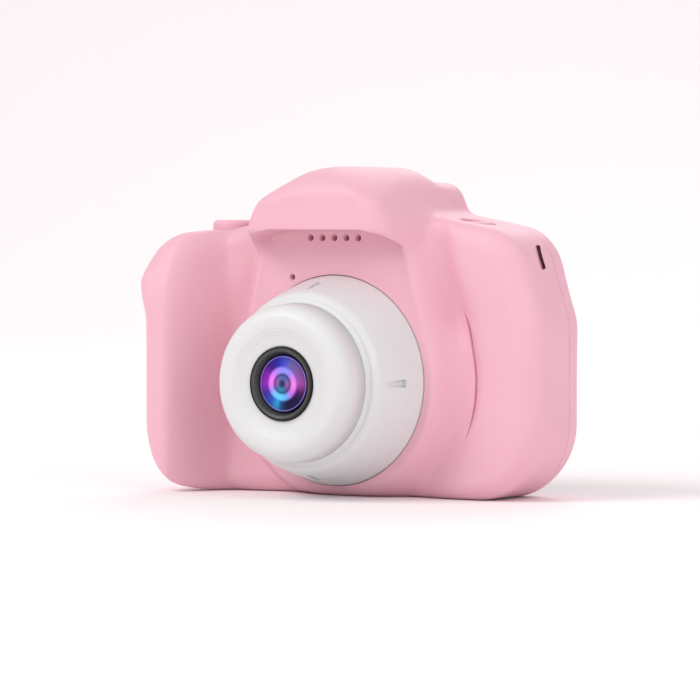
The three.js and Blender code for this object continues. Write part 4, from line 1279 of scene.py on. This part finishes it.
def rectangle(x: float, z: float, width: float, height: float, radius: float) -> Array:
    """A rectangle's outline with round corners."""
    a, b = width / 2, height / 2
    return rounded_path([[x - a, z - b, radius], [x + a, z - b, radius], [x + a, z + b, radius],
                         [x - a, z + b, radius]], 10)


# ---------------------------------------------------------------------------------------------------------
# Lens
# ---------------------------------------------------------------------------------------------------------


@dataclass
class Lens:
    """The lens drum, barrel, bezel and the glass with painted reflections.

    Attributes:
        front: the barrel's front plane.
        collar: the collar's face.
        drum_depth: how far the drum's front edge stands in front of the collar.
        notch_angles: where the drum's grip notches are, in degrees from +X.
        notch_stations: y, half width and depth under the drum's wall along a notch.
        wall_line: y and radius along the drum's wall.
        barrel_radius: the barrel's radius.
        rim: width and depth of the quarter ellipse over its front edge.
        dish: radii between which its face sinks, and by how much.
        face_steps: radii of the fine steps in its face.
        step: their height.
        glass_radius: radius of the front element.
        glass_crown: how much its middle stands out.
        segments: steps round the drum and the barrel.
    """

    shop: Workshop
    form: Form
    front: float = -21.0
    collar: float = -2.8
    drum_depth: float = 11.2
    notch_angles: tuple[float, ...] = (0.0, 90.0, 180.0, 270.0)
    notch_stations: tuple[tuple[float, float, float], ...] = (
        (-6.9, 0.75, 0.85), (-8.8, 0.62, 0.55), (-11.0, 0.42, 0.25), (-13.2, 0.2, -0.05))
    wall_line: tuple[tuple[float, float], ...] = (
        (-14, 16.3), (-12.5, 16.72), (-8.9, 17.45), (-6.9, 18.05), (-2.8, 19.1))
    barrel_radius: float = 14.1
    rim: tuple[float, float] = (2.6, 2.9)
    dish: tuple[float, float, float] = (11.4, 6.95, 0.85)
    face_steps: tuple[float, ...] = (9.9, 9.35, 8.8)
    step: float = 0.05
    glass_radius: float = 5.1
    glass_crown: float = 0.42
    segments: int = 320

    @property
    def centre(self) -> tuple[float, float]:
        """The lens axis."""
        return self.form.lens_x, self.form.lens_z

    def notch(self, name: str, degrees: float) -> bpy.types.Object:
        """The tool for a notch: a wedge whose sections widen and sink along the drum's wall."""
        turn = math.radians(degrees)
        out = np.array([math.cos(turn), math.sin(turn)])
        side = np.array([-math.sin(turn), math.cos(turn)])
        wall_y, wall_radius = zip(*self.wall_line)
        rings = []
        for y, half, sink in self.notch_stations:
            wall = float(np.interp(y, wall_y, wall_radius))
            corners = [(wall - sink, -half), (wall - sink, half), (wall + 2, half), (wall + 2, -half)]
            spots = np.array([self.centre + out * r + side * across for r, across in corners])
            rings.append(np.insert(spots, 1, y, axis=1))
        return loft(name, rings)

    def drum(self) -> None:
        """The wide drum: a tapered wall with a round front edge, four wedge notches cut into it."""
        front = self.collar - self.drum_depth
        edge = [[14.36, front - 0.6, 0], [14.8, front - 0.15, 1.4], [16.0, front + 0.05, 2.6]]
        wall = [[17.35, -9.6, 8], [18.15, -6.6, 4], [19.1, -2.9, 2], [19.1, -0.7, 0]]
        flange = [[19.9, -0.7, 0], [19.9, 0.5, 0], [17.1, 0.5, 0]]
        seat = [[14.4, front + 2, 0], [10.7, front + 2, 0], [10.7, front, 0]]
        drum = turned("drum_body", rounded_path([*edge, *wall, *flange, *seat], 10), self.centre,
                      segments=self.segments)
        carve(drum, [self.notch(f"notch_{i}", degrees) for i, degrees in enumerate(self.notch_angles)], 28)
        drum.name = "lens_drum_moulding"
        self.shop.fit(drum, "camera", "lens_white", Finish.WHITE, "lens_drum")

    def barrel(self) -> None:
        """The barrel: a quarter ellipse over its rim, then a shallow dish with three fine steps."""
        f = self.front
        back = self.collar - self.drum_depth - 0.05
        turn = np.linspace(0, math.pi / 2, 20)
        width, depth = self.rim
        rim = np.stack([self.barrel_radius - width * (1 - np.cos(turn)), f + depth * (1 - np.sin(turn))], 1)
        start, end, sink = self.dish
        r = np.linspace(start, end, 60)
        dish = sink * ease(0, 1, (start - r) / 4.4)
        steps = sum(self.step * ease(0, 0.08, edge - r) for edge in self.face_steps)
        face = np.stack([r, f + dish + steps], 1)
        bore = [[6.78, f + 1.0], [6.66, f + 1.15], [6.66, f + 2.8], [10.7, f + 2.8], [10.7, back], [14.28, back]]
        profile = np.vstack([rim, face, bore])
        self.shop.fit(turned("lens_barrel_moulding", profile, self.centre, segments=self.segments), "camera",
                      "lens_white", Finish.WHITE, "lens_barrel")

    def bezel(self) -> None:
        """The dark ring round the glass, with its thin gloss rim and the stepped baffle inside."""
        f = self.front
        slope = [[5.55, f + 1.3, 0.1], [5.75, f + 0.78, 0.15], [6.2, f + 0.5, 0.2], [6.32, f + 0.62, 0.05]]
        back = [[6.32, f + 4.5, 0], [4.5, f + 4.5, 0]]
        baffle = [[4.5, f + 2.4, 0], [5.45, f + 2.4, 0], [5.45, f + 1.5, 0]]
        ring = rounded_path([*slope, *back, *baffle], 6)
        self.shop.fit(turned("lens_bezel_ring", ring, self.centre, segments=200), "camera", "bezel_dark",
                      Finish.BEZEL, "lens_bezel")
        rim = rounded_path([[6.36, f + 0.72, 0.03], [6.42, f + 0.46, 0.05], [6.55, f + 0.5, 0.05],
                            [6.55, f + 4.5, 0], [6.36, f + 4.5, 0]], 4)
        self.shop.fit(turned("lens_bezel_rim", rim, self.centre, segments=200), "camera", "bezel_dark",
                      Finish.BLACK)

    def glass(self) -> None:
        """The front element, a shallow dome, whose material paints coating reflections and a thin highlight ring
        near its edge and makes them glow.
        """
        f = self.front
        edge = self.glass_radius
        r = np.linspace(edge, 0, 28)
        dome = np.stack([r, f + 1.58 - self.glass_crown * (1 - (r / edge) ** 2)], 1)
        profile = np.vstack([[[0, f + 2.28]], [[edge, f + 2.28]], dome])
        # front element with painted reflections and highlights, which glow from its material's emission
        self.shop.fit(turned("front_element", profile, self.centre, segments=160), "camera", "lens_glass",
                      PaintedReflectionLens("painted_reflection_lens", self.centre, edge), "front_glass")

    def build(self) -> None:
        """Makes every piece of the lens."""
        self.drum()
        self.barrel()
        self.bezel()
        self.glass()
        for node, finish in (("retainer_ring", Finish.LAVENDER), ("camera_holder", Finish.BLACK),
                             ("inner_lens", Finish.WINDOW), ("aperture_disc", Finish.BLACK),
                             ("sensor_board", Finish.BOARD)):
            self.shop.dress(node, finish)


# ---------------------------------------------------------------------------------------------------------
# Keys, screen, fasteners and electronics
# ---------------------------------------------------------------------------------------------------------


@dataclass
class Keys:
    """Every key cap, each turned to a soft-edged button on its own body.

    Attributes:
        stem: radius of the stem that presses the switch.
        rear_flange: the rear keys' flange, y of its outer face and its thickness.
        rear_edge: radius of their round edges.
        top_flange: the top keys' flange, how far its face is below theirs and its thickness.
        top_edge: width, drop and height of their round edges.
        crease: angle in degrees from which an edge stays sharp.
    """

    shop: Workshop
    stem: float = 1.2
    rear_flange: tuple[float, float] = (18.35, 0.9)
    rear_edge: float = 0.45
    top_flange: tuple[float, float] = (4.9, 1.0)
    top_edge: tuple[float, float, float] = (0.8, 0.9, 0.85)
    crease: float = 40.0

    def foot(self, low: float, radius: float, flange: float, thickness: float) -> list[list[float]]:
        """The profile of a key's stem and flange, up to its wall."""
        return [[0, low], [self.stem, low], [self.stem, flange - thickness],
                [radius + KEY_FLANGE, flange - thickness], [radius + KEY_FLANGE, flange], [radius, flange]]

    def rear(self, name: str) -> None:
        """A rear key: a flange, a straight wall, a round edge and a slightly dished face."""
        low, high = self.shop.corner(f"{name}_cap")
        radius = self.shop.radius(f"{name}_cap") - KEY_FLANGE
        top = high[1]
        turn = np.linspace(0, math.pi / 2, 8)
        edge = np.stack([radius - self.rear_edge * (1 - np.cos(turn)),
                         top - self.rear_edge + self.rear_edge * np.sin(turn)], 1)
        dish = [[radius * 0.75, top - 0.03], [radius * 0.45, top - 0.12], [0, top - 0.16]]
        profile = np.vstack([self.foot(low[1], radius, *self.rear_flange), edge, dish])
        piece = turned(f"{name}_button", profile, self.shop.middle(f"{name}_cap"), segments=96)
        piece.data.set_sharp_from_angle(angle=math.radians(self.crease))
        self.shop.fit(piece, name, "key_white", Finish.KEY, f"{name}_cap")

    def top(self, name: str) -> None:
        """A top key: a flat top that falls away over a round edge."""
        low, high = self.shop.corner(f"{name}_cap")
        radius = self.shop.radius(f"{name}_cap") - KEY_FLANGE
        top = high[2]
        turn = np.linspace(0, math.pi / 2, 10)
        width, drop, rise = self.top_edge
        edge = np.stack([radius - width * (1 - np.cos(turn)), top - drop + rise * np.sin(turn)], 1)
        below, thickness = self.top_flange
        profile = np.vstack([self.foot(low[2], radius, top - below, thickness), edge,
                             [[radius * 0.55, top - 0.01], [0, top]]])
        piece = turned(f"{name}_button", profile, self.shop.middle(f"{name}_cap", Axis.HEIGHT), Axis.HEIGHT, 128)
        piece.data.set_sharp_from_angle(angle=math.radians(self.crease))
        self.shop.fit(piece, name, "body_pink", Finish.PINK, f"{name}_cap")

    def build(self) -> None:
        """Makes the caps and dresses the parts under them."""
        for name in REAR_KEYS:
            self.rear(name)
        for name in TOP_KEYS:
            self.top(name)
        for name in (*REAR_KEYS, *TOP_KEYS):
            self.shop.dress(f"{name}_plunger", Finish.BLACK)
            self.shop.dress(f"{name}_switch", Finish.BLACK)


@dataclass
class Screen:
    """The rear screen's cover and the parts behind it."""

    shop: Workshop

    def build(self) -> None:
        """Makes the cover with a round edge, and dresses what is behind it."""
        low, high = self.shop.corner("screen_window")
        path = rectangle(*self.shop.middle("screen_window"), high[0] - low[0], high[2] - low[2], 2.0)
        cover = slab("screen_cover", path, low[1], high[1], 0.25, 5)
        cover.data.set_sharp_from_angle(angle=math.radians(40))
        self.shop.fit(cover, "camera", "window_black", Finish.WINDOW, "screen_window")
        for node, finish in (("display_tray", Finish.WHITE), ("display_panel", Finish.BLACK),
                             ("screen_gasket", Finish.FOAM), ("display_flex", Finish.AMBER)):
            self.shop.dress(node, finish)


@dataclass
class Fasteners:
    """The shell and board screws, with cross recesses in the shell screws' heads.

    Attributes:
        shank: radius of a shell screw's shank.
        head: radius of its head.
        arm: half the length of the cross recess.
        arm_half: half its width.
    """

    shop: Workshop
    shank: float = 0.85
    head: float = 1.75
    arm: float = 1.05
    arm_half: float = 0.2

    def build(self) -> None:
        """Makes each shell screw and dresses the board screws."""
        long, wide = 2 * self.arm, 2 * self.arm_half
        for i in range(1, SCREW_COUNT + 1):
            low, high = self.shop.corner(f"shell_screw_{i}")
            centre = self.shop.middle(f"shell_screw_{i}")
            top = high[1]
            profile = np.array([[0, low[1]], [self.shank, low[1] + 0.8], [self.shank, top - 1.3],
                                [self.head, top - 1.3], [self.head, top - 0.5], [1.6, top - 0.2],
                                [1.2, top - 0.04], [0, top]])
            screw = turned(f"screw_blank_{i}", profile, centre, segments=48)
            bars = [slab(f"slot_{i}_{side}", rectangle(*centre, *size, 0.1), top - 0.7, top + 0.5)
                    for side, size in enumerate(((long, wide), (wide, long)))]
            carve(screw, bars, 35)
            screw.name = f"shell_screw_{i}_steel"
            self.shop.fit(screw, "camera", "screw_steel", Finish.STEEL, f"shell_screw_{i}")
        for i in (1, 2):
            self.shop.dress(f"board_screw_{i}", Finish.STEEL)


@dataclass
class Electronics:
    """Finishes of the boards, cell, speaker, sockets and leads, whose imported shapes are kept."""

    shop: Workshop

    def build(self) -> None:
        """Dresses each node."""
        looks = {
            "main_board": Finish.BOARD, "processor_chip": Finish.BLACK, "camera_flex": Finish.AMBER,
            "battery": Finish.FOIL, "battery_plug": Finish.WHITE, "battery_lead_red": Finish.RED_WIRE,
            "battery_lead_black": Finish.BLACK_WIRE, "speaker_gasket": Finish.FOAM, "speaker": Finish.BLACK,
            "speaker_lead_red": Finish.RED_WIRE, "speaker_lead_black": Finish.BLACK_WIRE,
            "microphone": Finish.STEEL, "charging_socket": Finish.STEEL, "card_socket": Finish.STEEL,
        }
        for node, finish in looks.items():
            self.shop.dress(node, finish)
        LOG.info("electronics: %d nodes dressed", len(looks))


# ---------------------------------------------------------------------------------------------------------
# Studio
# ---------------------------------------------------------------------------------------------------------


@dataclass(frozen=True)
class Lamp:
    """A soft square light that faces the middle of the object.

    Attributes:
        name: its name.
        place: where it is, in millimetres.
        size: its side, in millimetres.
        power: watts.
        colour: its colour.
    """

    name: str
    place: Colour
    size: float
    power: float
    colour: Colour

    def build(self, target: Sequence[float] = (0.0, 0.0, 28.0)) -> None:
        """Makes the light and turns it towards a target, in millimetres."""
        data = bpy.data.lights.new(self.name, "AREA")
        data.shape = "SQUARE"
        data.size = self.size * MM
        data.energy = self.power
        data.color = self.colour
        lamp = bpy.data.objects.new(self.name, data)
        place = np.array(self.place, float)
        aim = np.array(target) - place
        lamp.location = place * MM
        level = math.hypot(aim[0], aim[1])
        lamp.rotation_euler = (math.atan2(level, -aim[2]), 0, math.atan2(aim[1], aim[0]) - math.pi / 2)
        bpy.context.scene.collection.objects.link(lamp)


@dataclass
class Studio:
    """A pale sweep, large soft lights and the camera.

    Attributes:
        azimuth: degrees that the camera stands to the right of the lens axis.
        pitch: degrees that it looks down.
        distance: millimetres from the object's axis to the camera, level.
        eye: the camera's height in millimetres.
        shift: millimetres that the camera stands to its own right.
        lens: focal length in millimetres.
        sensor: the sensor's width in millimetres.
        sweep_flat: length of the level floor behind the object.
        sweep_bend: radius of the curve where it turns up.
        sweep_width: half its width.
        sweep_colours: its two faintly different colours.
        air: colour and strength of the surroundings' light.
        lamps: the lights.
    """

    azimuth: float = 33.0
    pitch: float = 2.0
    distance: float = 763.0
    eye: float = 53.2
    shift: float = 1.3
    lens: float = 215.5
    sensor: float = 36.0
    sweep_flat: float = 900.0
    sweep_bend: float = 500.0
    sweep_width: float = 2500.0
    sweep_colours: tuple[Colour, Colour] = ((0.955, 0.915, 0.922), (0.965, 0.925, 0.932))
    air: tuple[Colour, float] = ((1.0, 0.975, 0.98), 0.68)
    lamps: tuple[Lamp, ...] = (
        Lamp("key_light", (-480, -760, 820), 650, 6.2, (1.0, 0.985, 0.97)),
        Lamp("side_light", (950, -420, 420), 800, 3.2, (1.0, 0.98, 0.985)),
        Lamp("back_light", (-300, 900, 800), 600, 3.0, (1.0, 0.99, 1.0)))

    def camera(self) -> None:
        """Places the camera level with the hump, looking slightly down."""
        turn = math.radians(self.azimuth)
        data = bpy.data.cameras.new("view")
        data.lens = self.lens
        data.sensor_width = self.sensor
        data.clip_start = 0.01
        data.clip_end = 50.0
        camera = bpy.data.objects.new("view", data)
        camera.location = ((self.distance * math.sin(turn) + self.shift * math.cos(turn)) * MM,
                           (-self.distance * math.cos(turn) + self.shift * math.sin(turn)) * MM, self.eye * MM)
        camera.rotation_euler = (math.radians(90 - self.pitch), 0, turn)
        bpy.context.scene.collection.objects.link(camera)
        bpy.context.scene.camera = camera

    def floor(self) -> None:
        """A sweep: level under the object, then a quarter circle up into a wall, turned round the origin."""
        bend = np.linspace(0, math.pi / 2, 24)
        flat, curve = self.sweep_flat, self.sweep_bend
        run = np.concatenate([[-1600.0], np.linspace(0, 800, 12), flat + curve * np.sin(bend), [flat + curve]])
        rise = np.concatenate([np.zeros(13), curve * (1 - np.cos(bend)), [3 * curve]])
        across = np.linspace(-self.sweep_width, self.sweep_width, 24)
        turn = math.radians(self.azimuth)
        ahead = np.array([-math.sin(turn), math.cos(turn)])
        right = np.array([math.cos(turn), math.sin(turn)])
        x = run[:, None] * ahead[0] + across[None] * right[0]
        y = run[:, None] * ahead[1] + across[None] * right[1]
        z = np.repeat(rise[:, None], len(across), 1) - 0.02
        count, width = x.shape
        k, i = np.meshgrid(np.arange(count - 1), np.arange(width - 1), indexing="ij")
        quads = np.stack([k * width + i, k * width + i + 1, (k + 1) * width + i + 1, (k + 1) * width + i], 2)
        sweep = write_mesh("sweep", np.stack([x, y, z], 2).reshape(-1, 3), quads.reshape(-1, 4))
        nodes = Nodes("pale_sweep")
        cloud = nodes.noise(3.0, 2.0)
        nodes.link(nodes.blend(nodes.spread(cloud.outputs[0], 0.0, 1.0), *self.sweep_colours),
                   nodes.shader.inputs["Base Color"])
        nodes.set(Roughness=0.9, Specular_IOR_Level=0.1)
        sweep.data.materials.append(nodes.material)
        sweep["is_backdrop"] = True

    def build(self) -> None:
        """Makes the sweep, the lights, the surroundings and the camera."""
        self.floor()
        for lamp in self.lamps:
            lamp.build()
        world = bpy.data.worlds.new("studio_air")
        world.use_nodes = True
        air = world.node_tree.nodes["Background"]
        colour, strength = self.air
        air.inputs["Color"].default_value = (*colour, 1)
        air.inputs["Strength"].default_value = strength
        scene = bpy.context.scene
        scene.world = world
        scene.view_settings.view_transform = "Standard"
        scene.view_settings.look = "None"
        self.camera()


def measured() -> list[list[float]]:
    """The shown object's lowest and highest corners, as plain numbers."""
    bpy.context.view_layer.update()
    return [list(map(float, corner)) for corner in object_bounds()]


def main() -> None:
    """Builds the camera's looks in order."""
    logging.basicConfig(level=logging.INFO, format="%(name)s %(message)s", stream=sys.stdout)
    shop = Workshop(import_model())
    loaded = measured()
    form = Form()
    FrontShell(shop, form).build()
    RearShell(shop, form).build()
    Lens(shop, form).build()
    Keys(shop).build()
    Screen(shop).build()
    Fasteners(shop).build()
    Electronics(shop).build()
    Studio().build()
    {"loaded": loaded, "finished": measured()}


if __name__ == "__main__":
    main()
